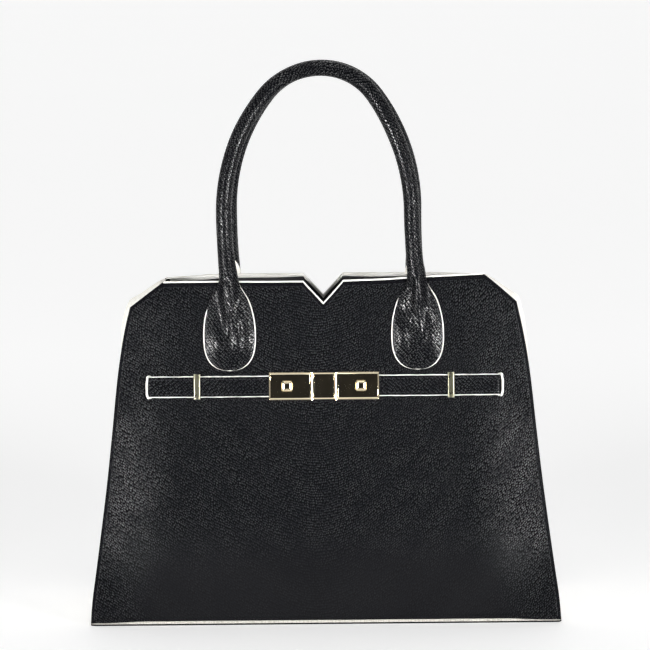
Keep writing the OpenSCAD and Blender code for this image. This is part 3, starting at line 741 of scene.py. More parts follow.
def mark_panel(piece, back):
    """Lays the grain flat over a panel and marks the pressed strip outside its seam."""
    across, raised, _ = in_panel(turned(own_places(piece), back))
    up = raised
    for _ in range(6):
        up = raised - edge_lift(across, up, back)
    row = up - 0.75 * np.sqrt(across**2 + 0.03**2)
    cos, sin = math.cos(GRAIN_TURN), -math.sin(GRAIN_TURN)
    laid = (across * cos - row * sin, across * sin + row * cos)
    set_grain(piece, np.stack([*laid, np.zeros(len(up))], -1))
    side = (half_width(up) - np.abs(across)) / side_factor(up)
    top = PANEL_TOP - top_drop(across) - up - TOP_SEAM_DROP
    near = np.minimum(side, np.where(np.abs(across) < NOTCH_W / 2, top * 0.7, top))
    set_mask(piece, "smoothed", 0.85 * (1 - ramp(up, 0.030, 0.085)) * (1 - ramp(np.abs(across), 0.12, 0.165)))
    set_mask(piece, "pressed", 1 - ramp(near, SEAM_INSET - 0.0005, SEAM_INSET + 0.0002))


def cut_holes(piece, cutter):
    """Cuts the cutter's shape out of the piece and throws the cutter away."""
    hole = piece.modifiers.new("holes", "BOOLEAN")
    hole.object, hole.operation, hole.solver = cutter, "DIFFERENCE", "EXACT"
    made_real(piece)
    bpy.data.objects.remove(cutter)


def made_real(piece):
    """Turns what the modifiers make into the piece's own plain mesh."""
    seen = piece.evaluated_get(bpy.context.evaluated_depsgraph_get())
    mesh = bpy.data.meshes.new_from_object(seen)
    piece.modifiers.clear()
    piece.data = mesh
    return piece


front_leather, back_leather = leather_panel("front_leather", False), leather_panel("back_leather", True)
turn = full_turn(40)
for side in (-1, 1):
    across, up = rounded(np.cos(turn), SLOT_W / 2, 0.4), rounded(np.sin(turn), SLOT_H / 2, 0.4)
    rings = [on_panel(side * SLOT_X + across, BELT_U + up, out) for out in (-0.006, 0.006)]
    cut_holes(front_leather, add_piece("slot_cutter", *loft(rings), panel_leather))
for piece, cad_name in ((front_leather, "front_panel"), (back_leather, "back_panel")):
    mark_panel(piece, piece is back_leather)
    declare(piece, "bag", "black_leather", cad_name)


def panel_card(name, back, cad_name):
    """The stiff card behind the leather, bent as the leather is."""
    across, up, _ = panel_grid(LINER_INSET, PANEL_TOP, np.array([0, 0.0002, 0.001]), 0.007)
    bow = panel_bow(across, up) - PANEL_T
    up = up + edge_lift(across, up, back)
    front, behind = (on_panel(across, up, bow - deep, back) for deep in (0.00002, BOARD_T))
    declare(add_piece(name, *two_sided(front, behind), board_card), "bag", "board", cad_name)


panel_card("front_card", False, "front_board")
panel_card("back_card", True, "back_board")


# Cream gussets, soft and folded in a little down their middle


# How full the belly is at shares up the gusset
LEFT_BELLY = (
    (0, 0), (0.3, 0), (0.6, 0.05), (0.75, 0.35), (0.86, 0.85), (0.915, 0.75), (0.945, 0.45), (0.97, 0.38), (1, 0.2),
)
RIGHT_BELLY = (
    (0, 0), (0.2, 0), (0.45, 0.15), (0.6, 0.45), (0.76, 0.75), (0.86, 0.85), (0.915, 0.8), (0.95, 0.6), (0.975, 0.5),
    (1, 0.25),
)


def gusset_path(bellies):
    """Rows up a gusset and over the shoulder: distance from the middle, height, outward direction, share of belly."""
    ups = np.concatenate([np.linspace(0, SHOULDER_U, 60), np.linspace(SHOULDER_U, PANEL_L - EDGE_INSET, 12)[1:]])
    line = np.stack([half_width(ups) - EDGE_INSET, FOOT_Z + ups * math.cos(LEAN)], -1)
    line[-1, 0] = TOP_W / 2 - EDGE_INSET
    run = run_of(line)
    bend = ramp(ups, SHOULDER_U - 0.012, SHOULDER_U + 0.010)[:, None]
    up_run, shoulder_run = run[40], run[-3]
    run = run * (1 - bend * (1 - bend) * 2) + (up_run * (1 - bend) + shoulder_run * bend) * bend * (1 - bend) * 2
    run /= np.linalg.norm(run, axis=1)[:, None]
    normal = np.stack([run[:, 1], -run[:, 0]], -1)
    normal[0] = (1, 0)
    return line, normal, smooth_line(ups / PANEL_L, bellies)


def half_depth(height, roll=0.0):
    """Half depth between the inner faces of the two leather panels, at a height above the floor."""
    return BASE_D / 2 - (height - FOOT_Z) * math.tan(LEAN) - (PANEL_T + roll) / math.cos(LEAN)


def gusset_grid(bellies, depth_in, side):
    """Places over a gusset on the right, depth_in behind its outer face: folded in low down, full at the top."""
    line, normal, belly = gusset_path(bellies)
    share = np.linspace(0, 1, 33)
    round_belly = np.sin(math.pi * share) ** 0.75
    height = line[:, 1]
    calm = ramp(height, 0.02, 0.11) * (1 - ramp(height, 0.17, 0.225))
    fold = 0.0042 * np.sin(math.pi * share) ** 1.3 + 0.0022 * np.exp(-(((share - 0.5) / 0.07) ** 2))
    out = GUSSET_BULGE * belly[:, None] * round_belly[None] - calm[:, None] * fold[None] - depth_in
    place = line[:, None] + out[..., None] * normal[:, None]
    up = (height - FOOT_Z) / math.cos(LEAN)
    reach = half_depth(height, side_roll(line[:, 0], up))
    deep = (2 * share[None] - 1) * reach[:, None]
    grid = np.stack([place[..., 0], deep, place[..., 1]], -1)
    for back, near in ((False, 1 - share), (True, share)):
        lift = edge_lift(side * line[:, 0] * (-1 if back else 1), up, back)[:, None] * near[None] ** 1.4
        grid[..., 2] += lift * math.cos(LEAN)
        grid[..., 1] += lift * math.sin(LEAN) * (-1 if back else 1)
    return grid


def add_gusset(name, side, bellies, cad_name):
    outer, inner = gusset_grid(bellies, 0.0, side), gusset_grid(bellies, GUSSET_T, side)
    border = np.ones(outer.shape[:2], bool)
    border[1:-1, 1:-1] = False
    outer[border] = (outer[border] + inner[border]) / 2
    points, faces = two_sided(outer * (side, 1, 1), inner * (side, 1, 1))
    piece = add_piece(name, points, faces, cream_leather)
    set_grain(piece, points[:, (1, 2, 0)])
    declare(piece, "bag", "cream_leather", cad_name)


add_gusset("left_gusset_leather", -1, LEFT_BELLY, "left_gusset")
add_gusset("right_gusset_leather", 1, RIGHT_BELLY, "right_gusset")


# Black lining: front, back, floor and over the inside of the gussets


LINING_STEPS = np.array([0, 0.0003, 0.0012])


def declare_lining(piece, flat, area, *cad_names):
    declare(piece, "bag", "lining_cloth", *cad_names)


def grid_area(places):
    """Area of a grid of places."""
    a = places[1:, 1:] - places[:-1, :-1]
    b = places[1:, :-1] - places[:-1, 1:]
    return float(np.linalg.norm(np.cross(a, b), axis=-1).sum() / 2)


def wall_lining(name, back, cad_name):
    """The lining of one wall, with its faint puckers."""
    across, up, _ = panel_grid(LINER_INSET - 0.0004, PANEL_TOP - 0.0002, LINING_STEPS, 0.007)
    pucker = 0.00012 * np.sin(across * 210 + 3 * np.sin(up * 40)) * ramp(up, 0.02, 0.05)
    bow = panel_bow(across, up)
    up = up + edge_lift(across, up, back)
    front = on_panel(across, up, bow - WALL_T + LINING_T * 0.9, back)
    behind = on_panel(across, up, bow - WALL_T - 0.00006 + pucker, back)
    piece = add_piece(name, *two_sided(front, behind), lining_cloth)
    set_weave_map(piece, both_sides(across), both_sides(up))
    declare_lining(piece, (BASE_W - 2 * LINER_INSET, PANEL_L), grid_area(front), cad_name)


wall_lining("front_lining_cloth", False, "front_lining")
wall_lining("back_lining_cloth", True, "back_lining")


def side_lining(name, side, bellies):
    """The lining over the inside of a gusset."""
    grids = [gusset_grid(bellies, GUSSET_T + gap, side) for gap in (0.00015, 0.00055)]
    for grid in grids:
        grid[..., 1] *= 1 - (WALL_T / PANEL_T - 1) * PANEL_T / half_depth(grid[:, :1, 2])
        grid *= (side, 1, 1)
    outer, inner = (grid[1:-2] for grid in grids)
    piece = add_piece(name, *two_sided(outer, inner), lining_cloth)
    rows, columns = outer.shape[:2]
    across, along = np.meshgrid(np.linspace(0, 0.08, columns), np.arange(rows) * ROW_STEP)
    set_weave_map(piece, both_sides(across), both_sides(along))
    declare_lining(piece, (BASE_D - 2 * WALL_T, 0.285), grid_area(outer))


side_lining("left_side_lining", -1, LEFT_BELLY)
side_lining("right_side_lining", 1, RIGHT_BELLY)


def floor_lining():
    """The cloth over the floor board, lying in faint waves."""
    top = FOOT_Z + FLOOR_BOARD_T
    half_w = SHOULDER_W / 2 + 0.99 * (BASE_W - SHOULDER_W) / 2 - LINER_INSET - LINING_T
    half_d = half_depth(top) - (BOARD_T + LINING_T) / math.cos(LEAN)
    x, y = np.meshgrid(np.linspace(-half_w, half_w, 40), np.linspace(-half_d, half_d, 16))
    wave = 0.00012 * np.sin(x * 60) * np.sin(y * 85) + 0.00015
    upper = np.stack([x, y, top + LINING_T * 0.8 + wave], -1)
    lower = np.stack([x, y, np.full(x.shape, top + 0.00005)], -1)
    points, faces = two_sided(upper, lower)
    piece = add_piece("floor_lining_cloth", points, faces, lining_cloth)
    set_weave_map(piece, points[:, 0], points[:, 1])
    declare_lining(piece, (2 * half_w, 2 * half_d), 4 * half_w * half_d, "floor_lining")


floor_lining()


# Cream binding over the top edges and the notches


def top_path():
    """The top edge from one corner to the other, with the notch: across and up."""
    corners = [(TOP_W / 2, PANEL_L), (NOTCH_W / 2, PANEL_L), (0, PANEL_L - NOTCH_DEPTH)]
    corners += [(-x, up) for x, up in corners[-2::-1]]
    return np.concatenate([even_steps(corners[i : i + 2], 0.0012)[: None if i == 3 else -1] for i in range(4)])


def binding(name, back, cad_name):
    """A thin strip folded over the edge, its lips rounded."""
    path = top_path()
    inner = WALL_T + LIP_T
    fall = 0.0 if back else 0.0006
    down_out = [
        (OUTER_LIP_H, 0.0), (OUTER_LIP_H, 0.00028), (OUTER_LIP_H - 0.0002, LIP_T), (0.0002, LIP_T),
        (-0.0001, 0.00025), (-0.00025, -0.0002), (fall - 0.00025, -inner + 0.0006), (fall - 0.0001, -inner + 0.00012),
        (fall + 0.0002, -inner), (INNER_LIP_H - 0.0002, -inner - 0.00005), (INNER_LIP_H, -inner + 0.00012),
        (INNER_LIP_H, -inner + 0.0003), (CAP_T + 0.0002, -inner + LIP_T), (CAP_T + 0.0001, -WALL_T * 0.5),
        (CAP_T + 0.0001, 0.0),
    ]
    slope = 1 + 0.35 * (np.abs(path[:, 0]) < NOTCH_W / 2 - 0.0004)
    rings = []
    for (x, up), steep in zip(path, slope):
        down, out = np.array(down_out).T
        tall = 1 - 0.24 * (1 - ramp(abs(x), 0.015, 0.035)) + 0.26 * float(ramp(x if back else -1, 0.06, 0.095))
        down = np.where(down > CAP_T, down * steep, down) * np.where(down > INNER_LIP_H - 0.0004, tall, 1)
        inset = LINER_INSET * ramp(abs(x), TOP_W / 2 - 0.012, TOP_W / 2) * (out < -WALL_T * 0.6)
        ripple = 0.00004 * math.sin(x * 700) * (down > 0.0009)
        lift = float(edge_lift(x, up, back))
        out = out + ripple - float(side_roll(x, up))
        rings.append(on_panel(x - np.sign(x) * inset, up + lift - down, out, back))
    declare(add_piece(name, *loft(rings), edge_paint), "bag", "edge_binding", cad_name)


binding("front_edge_binding", False, "front_binding")
binding("back_edge_binding", True, "back_binding")


# Base: the cream base panel and the black sole under it


def base_slab(name, low, high, round_off, material, cad_name, slot_name):
    """A slab with upright round corners and softened edges, its front and back reaching as low as the panels' feet."""
    half_w, half_d = BASE_W / 2 + BASE_PROUD, BASE_D / 2 + BASE_PROUD
    outline = []
    for side_x, side_y, first in ((1, 1, 0), (-1, 1, 90), (-1, -1, 180), (1, -1, 270)):
        for turn in np.radians(np.linspace(first, first + 90, 8)):
            x = side_x * (half_w - BASE_CORNER_R) + BASE_CORNER_R * math.cos(turn)
            outline.append((x, side_y * (half_d - BASE_CORNER_R) + BASE_CORNER_R * math.sin(turn)))
    outline = even_steps([*outline, outline[0]], 0.004)[:-1]
    near = np.abs(outline) > np.array([half_w, half_d]) - BASE_CORNER_R - 1e-6
    inward = -np.sign(outline) * np.where(near.all(axis=1)[:, None], 0.7, near)
    levels = [(0.003, low), (round_off, low), (round_off * 0.3, low + round_off * 0.3), (0, low + round_off)]
    levels += [(0, high - round_off), (round_off * 0.3, high - round_off * 0.3), (round_off, high), (0.003, high)]
    at_face = ramp(np.abs(outline[:, 1]), half_d - 0.004, half_d - 0.001)
    lowered = (foot_drop(outline[:, 0]) if high == FOOT_Z else 0.0) * at_face
    rings = []
    for inset, height in levels:
        drop = lowered * (height > (low + high) / 2)
        rings.append(np.column_stack([outline + inward * inset, height - drop]))
    piece = add_piece(name, *loft(rings), material)
    set_grain(piece, own_places(piece))
    declare(piece, "bag", slot_name, cad_name)


# The base leather is the cream leather darkened as painted shade.
base_slab("base_leather", SOLE_T, FOOT_Z, 0.0007, shaded_foot_leather, "base_panel", "cream_leather")
base_slab("sole_leather", 0.0, SOLE_T, 0.0003, sole_leather, "base_sole", "black_leather")


# Handles with their tabs: each is one skin, from the foot of one tab over the crown to the foot of the other


RING_POINTS = 72
RING_TURN = full_turn(RING_POINTS)
# How far a handle leans sideways, and its tube's radius, at heights above its necks
SKEW = (
    (-0.02, 0), (0.0, -0.0007), (0.008, -0.0017), (0.045, -0.0037), (0.1, -0.0037), (0.13, -0.0026), (0.156, -0.0012),
)
TUBE_SWELL = ((-0.006, 0.0074), (0.0, 0.0071), (0.006, 0.0067), (0.015, 0.0063), (0.03, 0.0060), (0.2, 0.0060))
BACK_SKEW = -0.2


def sideways(up, back):
    """How far a handle's leather stands sideways at a height above its necks."""
    return (BACK_SKEW if back else 1) * smooth_line(up, SKEW)


def bend_at_necks(piece):
    """Bakes a piece's transform into its own mesh."""
    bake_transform(piece)


def handle_line(spacing):
    """The middle of a handle from its left neck over the crown to its right one: places and outward directions."""
    gap = (ARCH_RISE - LEG_X) / 0.4
    side_r = LEG_X + 0.8 * gap
    crown_r, crown_up = side_r - gap, LEG_L + ARCH_RISE - (side_r - gap)
    meet = math.atan2(0.6, 0.8)
    leg = np.stack([np.full(60, LEG_X), np.linspace(0, LEG_L, 60, endpoint=False)], -1)
    turns = np.linspace(0, meet, 120, endpoint=False)
    side = np.stack([LEG_X - side_r + side_r * np.cos(turns), LEG_L + side_r * np.sin(turns)], -1)
    turns = np.linspace(meet, math.pi / 2, 80)
    crown = np.stack([crown_r * np.cos(turns), crown_up + crown_r * np.sin(turns)], -1)
    right = np.concatenate([leg, side, crown])
    line = even_steps(np.concatenate([right * (-1, 1), right[-2::-1]]), spacing)
    run = run_of(line)
    return line, np.stack([-run[:, 1], run[:, 0]], -1)


# Folds of the tabs' leather where the tubes open out: lines of (share up the tab, distance outwards in mm),
# and puffs as (share up the tab, distance outwards, height as a share, half width and rise in mm)
LEFT_FOLDS = {
    "valley": (
        (0.0, -9.0), (0.06, -9.0), (0.29, -7.1), (0.46, -6.1), (0.58, -3.4), (0.76, -0.2), (0.9, 0.8), (1.02, 1.0),
    ),
    "outer": ((0.5, -2.2), (0.585, -0.8), (0.66, 2.2), (0.81, 4.6), (1.02, 4.6)),
    "inner": ((0.3, -13.8), (0.4, -13.2), (0.7, -9.0), (0.81, -6.1), (0.96, -2.6), (1.02, -2.2)),
    "puffs": ((0.31, 8.0, 0.13, 6.0, 2.6), (0.36, -13.0, 0.13, 4.5, 1.4)),
}
RIGHT_FOLDS = {
    "valley": ((0.0, 1.0), (0.2, 0.6), (0.38, 0.2), (0.57, -1.9), (0.75, -5.1), (0.9, -3.9), (1.02, -3.4)),
    "outer": ((0.3, 11.0), (0.4, 10.2), (0.67, 7.2), (0.79, 4.0), (0.9, 1.6), (1.02, 0.8)),
    "inner": ((0.5, -4.5), (0.6, -5.8), (0.73, -9.0), (0.83, -8.2), (1.02, -7.0)),
    "puffs": ((0.37, -11.5, 0.13, 4.8, 2.0), (0.36, 10.0, 0.14, 5.5, 2.3)),
}


def tab_folds(share, across, side):
    """Rise of the folds of a tab at a share up it: two ridges with a deep valley, and puffs under them."""
    folds = LEFT_FOLDS if side < 0 else RIGHT_FOLDS
    at = {name: float(smooth_line(share, folds[name])) / 1000 for name in ("valley", "outer", "inner")}
    short, long = ("outer", "inner") if side < 0 else ("inner", "outer")
    rise = -0.0018 * float(ramp(share, 0.05, 0.62)) * np.exp(-(((across - at["valley"]) / 0.0016) ** 2))
    rise += 0.0015 * float(ramp(share, 0.53, 0.7)) * np.exp(-(((across - at[short]) / 0.0030) ** 2))
    rise += 0.0014 * float(ramp(share, 0.28, 0.7)) * np.exp(-(((across - at[long]) / 0.0034) ** 2))
    for mid, place, tall, broad, high in folds["puffs"]:
        away = ((share - mid) / tall) ** 2 + ((across * 1000 - place) / broad) ** 2
        rise += high / 1000 * np.exp(-away)
    tuck = float(np.interp(share, (0.70, 1.0), (0.0152, 0.0098)))
    deep = 0.0013 * float(ramp(share, 0.62, 0.78)) * (1 - float(ramp(share, 0.93, 1.02)))
    sign = 1 if side < 0 else -1
    rise -= deep * np.exp(-(((across * sign - tuck) / 0.0011) ** 2))
    return rise + 0.6 * deep * np.exp(-(((across * sign - tuck - 0.0022) / 0.0015) ** 2))


# Radius and height of the ridge that rises to the tube, at heights up the panel
RIDGE_RADII = ((0.199, 0.0035), (0.215, 0.0048), (0.235, 0.0063), (0.257, 0.0074))
RIDGE_HEIGHTS = ((0.199, 0.0), (0.207, 0.0007), (0.222, 0.0026), (0.240, 0.0046), (0.257, 0.0061))


def tab_section(up, side):
    """Half width of a tab and the rise of its leather over its width, at a height up the panel."""
    share = (up - (PANEL_L - TAB_H)) / TAB_H
    wide = float(tab_half_width(share))
    across = wide * np.cos(RING_TURN)
    ridge_r = float(smooth_line(up, RIDGE_RADII))
    ridge = float(smooth_line(up, RIDGE_HEIGHTS)) * np.exp(-((np.abs(across) / ridge_r / 0.72) ** 2.7))
    puff = 0.0006 * (1 - (across / max(wide, 1e-6)) ** 2) * ramp(share, 0.0, 0.2)
    fade = 1 - (across / max(wide, 1e-6)) ** 6
    rise = TAB_T - 0.0001 + ridge + puff + tab_folds(share, across, side) * fade
    bottom = float(edge_roll(max(0.0, share * TAB_H)) + EDGE_ROLL) / EDGE_ROLL
    middle = TAB_T / 2
    boxy = (1 - np.abs(np.cos(RING_TURN)) ** 14) ** 0.5
    front = middle + (rise - middle) * boxy * bottom
    floor = LIP_T + 0.00005 if up > PANEL_L - 0.003 else 0.00002
    rear = middle + (floor - middle) * boxy * bottom
    return across, np.where(np.sin(RING_TURN) >= 0, front, rear)


def tab_rings(side, back):
    """Rings from the foot of a tab up to where it has become a tube, as places on the panel."""
    foot = PANEL_L - TAB_H
    shares = np.concatenate([[0.0004, 0.002, 0.006, 0.013, 0.023, 0.037, 0.055], np.linspace(0.075, 1.13, 62)])
    rings = []
    for share in shares:
        up = foot + share * TAB_H
        across, out = tab_section(min(up, PANEL_L + 0.003), side)
        tube_r = float(smooth_line(up - NECK_U, TUBE_SWELL))
        round_up = float(ramp(up, PANEL_L - 0.004, PANEL_L + 0.005))
        across = across * (1 - round_up) + tube_r * np.cos(RING_TURN) * round_up
        out = out * (1 - round_up) + (NECK_OUT + tube_r * np.sin(RING_TURN)) * round_up
        x = side * (LEG_X + across) + float(sideways(up - NECK_U, back))
        rings.append(np.stack([x, np.full(RING_POINTS, up), out], -1))
    return np.array(rings)


def handle_skin(name, back, *cad_names):
    """The leather of a handle and both its tabs, in black, with the cream inside showing where the tube opens."""
    line, outward = handle_line(0.002)
    keep = (line[:, 1] > 0.004) | (line[:, 0] == 0)
    tube = []
    for (x, up), away in zip(line[keep], outward[keep]):
        radius = float(smooth_line(up, TUBE_SWELL))
        flat = np.array([x + float(sideways(up, back)), up]) + radius * np.cos(RING_TURN)[:, None] * away
        tube.append(on_handle(flat[:, 0], flat[:, 1], radius * np.sin(RING_TURN), back))
    ends = []
    for side in (-1, 1):
        rings = tab_rings(side, back)
        rings = rings[rings[:, 0, 1] < NECK_U + 0.003]
        ends.append(on_panel(rings[..., 0], rings[..., 1], rings[..., 2], back))
    whole = np.concatenate([ends[0], np.array(tube), ends[1][::-1]])
    piece = add_piece(name, *loft(whole), handle_leather)

    along = lengths_along(whole.mean(axis=1))
    round_it = np.cumsum(np.linalg.norm(np.diff(whole, axis=1, append=whole[:, :1]), axis=-1), axis=1)
    round_it -= round_it[:, RING_POINTS // 4][:, None]
    set_grain(piece, np.stack([along[:, None] * np.ones(RING_POINTS), round_it, np.zeros(round_it.shape)], -1))
    high = ramp(whole[..., 2], 0.30, 0.41)
    inside = np.clip(-np.cos(RING_TURN), 0, 1)[None] * np.ones(len(whole))[:, None]
    neck = np.exp(-(((whole[..., 2] - NECK[2] - 0.004) / 0.012) ** 2))
    set_mask(piece, "bent", np.clip(0.04 + 0.9 * high * inside**0.6 + 0.06 * neck, 0, 1))
    _, up, _ = in_panel(turned(whole.reshape(-1, 3), back))
    opened = (PANEL_L + 0.0155 - up.reshape(len(whole), -1)) / 0.0155
    spread = np.sign(opened) * (1.7 * np.abs(opened) ** 0.8 if back else 1.25 * np.abs(opened))
    from_inside = np.abs((RING_TURN - 0.5 * math.pi) % (2 * math.pi) - math.pi)
    set_mask(piece, "lined", np.clip(0.5 + (np.minimum(spread, 1.53) - from_inside) * 1.2, 0, 1))
    bend_at_necks(piece)
    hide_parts(*cad_names)


handle_skin("front_handle_leather", False, "front_handle", "front_left_tab", "front_right_tab")
handle_skin("back_handle_leather", True, "back_handle", "back_left_tab", "back_right_tab")


def rope_core(name, back, cad_name, body):
    """A laid rope of three strands inside a handle."""
    line, outward = handle_line(0.0025)
    keep = line[:, 1] > 0.012
    turn = full_turn(24)
    rings = []
    for i, ((x, up), away) in enumerate(zip(line[keep], outward[keep])):
        lobes = CORE_R * (0.9 + 0.1 * np.cos(3 * (turn - i * 0.09)))
        flat = np.array([x + float(sideways(up, back)), up]) + (lobes * np.cos(turn))[:, None] * away
        rings.append(on_handle(flat[:, 0], flat[:, 1], lobes * np.sin(turn), back))
    declare(add_piece(name, *loft(rings), rope_cotton), body, "rope", cad_name)


rope_core("front_rope", False, "front_handle_core", "front_handle")
rope_core("back_rope", True, "back_handle_core", "back_handle")


def tab_outline(from_share, to_share, inset=0.0):
    """A line round a tab from a height on its outer side, by its foot, to a height on its inner side."""
    halves = []
    for sign, shares in ((1, np.linspace(from_share, 0.0, 90)), (-1, np.linspace(0.0, to_share, 90))):
        halves.append(np.stack([sign * tab_half_width(shares), shares], -1))
    line = np.concatenate([halves[0], halves[1][1:]]) * (1, TAB_H) + (0, PANEL_L - TAB_H)
    line = even_steps(line, 0.0006)
    if inset:
        line = inset_line(line[::-1], inset)[::-1]
    return even_steps(line, 0.0008)


def bead_ends(path, thin):
    """Sizes along a bead that tapers at both its ends, and is thin over a given length of each."""
    lengths = lengths_along(path)
    left = lengths[-1] - lengths
    ends = 0.2 + 0.8 * ramp(lengths, 0, 0.006) * ramp(left, 0, 0.006)
    for away, length in ((lengths, thin[0]), (left, thin[1])):
        if length:
            ends = ends * (0.42 + 0.58 * ramp(away, length - 0.002, length + 0.003))
    return ends


def tab_bead(name, side, back, from_share, to_share, thin):
    """The painted edge round a tab; on its outer side it ends where the leather folds under."""
    line = tab_outline(from_share, to_share)
    across, up = line[:, 0] - np.sign(line[:, 0]) * 0.00035, line[:, 1]
    x = side * (LEG_X + across) + sideways(up - NECK_U, back)
    lift = 0.00125 + 0.0009 * ramp(up, 0.236, 0.254)
    path = on_panel(x, up + 0.0003 * (up < PANEL_L - TAB_H + 0.004), lift, back)
    piece = bead(name, path, panel_out(back), bead_ends(path, thin))
    bend_at_necks(piece)


tab_bead("front_left_tab_edge", -1, False, 0.72, 0.96, (0, 0.013))
tab_bead("front_right_tab_edge", 1, False, 0.96, 0.80, (0.008, 0))
tab_bead("back_left_tab_edge", -1, True, 0.72, 0.96, (0, 0.013))
tab_bead("back_right_tab_edge", 1, True, 0.96, 0.80, (0.008, 0))


# Belt: two soft straps with painted edges, and a painted welt round each slot


def strap_path():
    """The middle of the right strap: across and out, from under its plate, along the front and in through the slot."""
    front, behind = STRAP_BACK + STRAP_T / 2, -WALL_T - STRAP_T / 2 + 0.0001
    turn_r = 0.0016
    bends = []
    for first, last, middle in ((90, 0, front - turn_r), (0, -90, behind + turn_r)):
        turns = np.radians(np.linspace(first, last, 10))
        bends.append(np.stack([SLOT_X - turn_r + turn_r * np.cos(turns), middle + turn_r * np.sin(turns)], -1))
    line = np.concatenate([[(STRAP_START_X, front)], *bends, [(SLOT_X - TAIL_L + 0.001, behind)]])
    line = even_steps(line, 0.0011)
    soft = 0.00006 * np.sin(line[:, 0] * 95)
    line[:, 1] += soft * ramp(line[:, 0], 0.045, 0.06) * (line[:, 1] > 0.001)
    return line


def strap(side, name, cad_name):
    """A soft strap with rounded edges, and the two lines of edge paint along it."""
    line = strap_path()
    run = run_of(line)
    turn = full_turn(36)
    section = np.stack(
        [rounded(np.sin(turn), STRAP_H / 2 - 0.0006, 0.25), rounded(np.cos(turn), STRAP_T / 2, 0.25)], -1
    )
    origin = on_panel(0, 0, 0)
    x_dir, up_dir, out_dir = (on_panel(*v) - origin for v in ((1, 0, 0), (0, 1, 0), (0, 0, 1)))
    path = on_panel(line[:, 0], BELT_U + 0.0001 * np.sin(line[:, 0] * 60), line[:, 1])
    points, faces = sweep(path, up_dir, -run[:, 1:] * x_dir + run[:, :1] * out_dir, section)
    mirror = np.array([side, 1, 1])
    piece = add_piece(name, points * mirror, faces, strap_leather)
    flat = np.broadcast_arrays(lengths_along(line)[:, None], section[None, :, 0], np.zeros((1, 1)))
    set_grain(piece, np.stack(flat, -1) + (0.3 * side, 0, 0))
    declare(piece, "bag", "black_leather", cad_name)
    x, out = line[line[:, 1] > -0.0035].T
    for edge, word in ((1, "upper"), (-1, "lower")):
        wobble = 0.00008 * np.sin(x * 310 + edge) + 0.00005 * np.sin(x * 790)
        height = BELT_U + edge * (STRAP_H / 2 - BEAD_R + 0.00012) + wobble
        rim = bead(f"{name}_{word}_edge", on_panel(x, height, out + 0.0001) * mirror, out_dir)
        declare(rim, "bag", "edge_binding")


strap(-1, "left_strap_leather", "left_strap")
strap(1, "right_strap_leather", "right_strap")


def slot_welt(side, name):
    """The painted rim of a slot, thick at its outer side where the strap dives in."""
    turn = full_turn(64)
    power = 2 / 4.5
    across = rounded(np.cos(turn), SLOT_W / 2 - 0.00035, power)
    up = rounded(np.sin(turn), STRAP_H / 2 + 0.00015, power)
    outer_side = ramp(across, 0.0, 0.0015)
    bow = 0.0007 * outer_side * (1 - (up / (SLOT_H / 2)) ** 2) + 0.00012 * np.sin(up * 900) * outer_side
    bow = bow - (side < 0) * 0.0011
    path = on_panel(side * (SLOT_X + across + bow), BELT_U + up, 0.0001 + 0.0017 * outer_side)
    knots = np.exp(-(((np.abs(up) - STRAP_H / 2) / 0.0012) ** 2)) * ramp(across, -0.001, 0.001)
    thick = 1.0 + 0.75 * outer_side + 0.6 * knots + 0.12 * np.sin(turn * 9)
    declare(bead(name, path, panel_out(), thick, closed=True), "bag", "edge_binding")


slot_welt(-1, "left_slot_welt")
slot_welt(1, "right_slot_welt")


# Metal: the frame's own pieces with their edges softened


SHARP, FLAT, MERGED = math.radians(35), math.radians(0.8), 2e-6
PLATE_TOP, PLATE_FAR_X, PLATE_HALF_H = 0.0052, 0.0417, 0.010
KNOB_X = 0.028
KEEPER_FRONT = STRAP_BACK + STRAP_T + 0.00015 + 0.0014


def is_sharp(edge):
    return len(edge.link_faces) == 2 and edge.calc_face_angle(0) > SHARP


def polished(name, cad_name, body, material, slot_name, rounds, first=None):
    """A copy of a CAD node, merged and with its edges rounded by a list of (test of an edge, width, segments)."""
    shell = bmesh.new()
    shell.from_mesh(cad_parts[cad_name].data)
    bmesh.ops.remove_doubles(shell, verts=shell.verts, dist=MERGED)
    bmesh.ops.dissolve_limit(shell, angle_limit=FLAT, verts=shell.verts, edges=shell.edges)
    if first:
        first(shell)
    for test, width, segments in rounds:
        chosen = [e for e in shell.edges if is_sharp(e) and test(e)]
        if chosen:
            bmesh.ops.bevel(
                shell, geom=chosen, offset=width, segments=segments, profile=0.5, affect="EDGES", clamp_overlap=True
            )
    crisp = [is_sharp(e) for e in shell.edges]
    mesh = bpy.data.meshes.new(name)
    shell.to_mesh(mesh)
    shell.free()
    mesh.shade_smooth()
    mesh.attributes.new("sharp_edge", "BOOLEAN", "EDGE").data.foreach_set("value", crisp)
    mesh.materials.clear()
    mesh.materials.append(material)
    piece = add_object(name, mesh)
    even = piece.modifiers.new("even normals", "WEIGHTED_NORMAL")
    even.weight, even.keep_sharp = 100, True
    made_real(piece)
    declare(piece, body, slot_name, cad_name)


def longer_than(length):
    return lambda edge: edge.calc_length() > length


def at_front(out, length):
    """Edges longer than length that lie at one height above the leather."""

    def test(edge):
        _, _, outs = in_panel([v.co[:] for v in edge.verts])
        return edge.calc_length() > length and bool(np.all(np.abs(outs - out) < 0.00005))

    return test


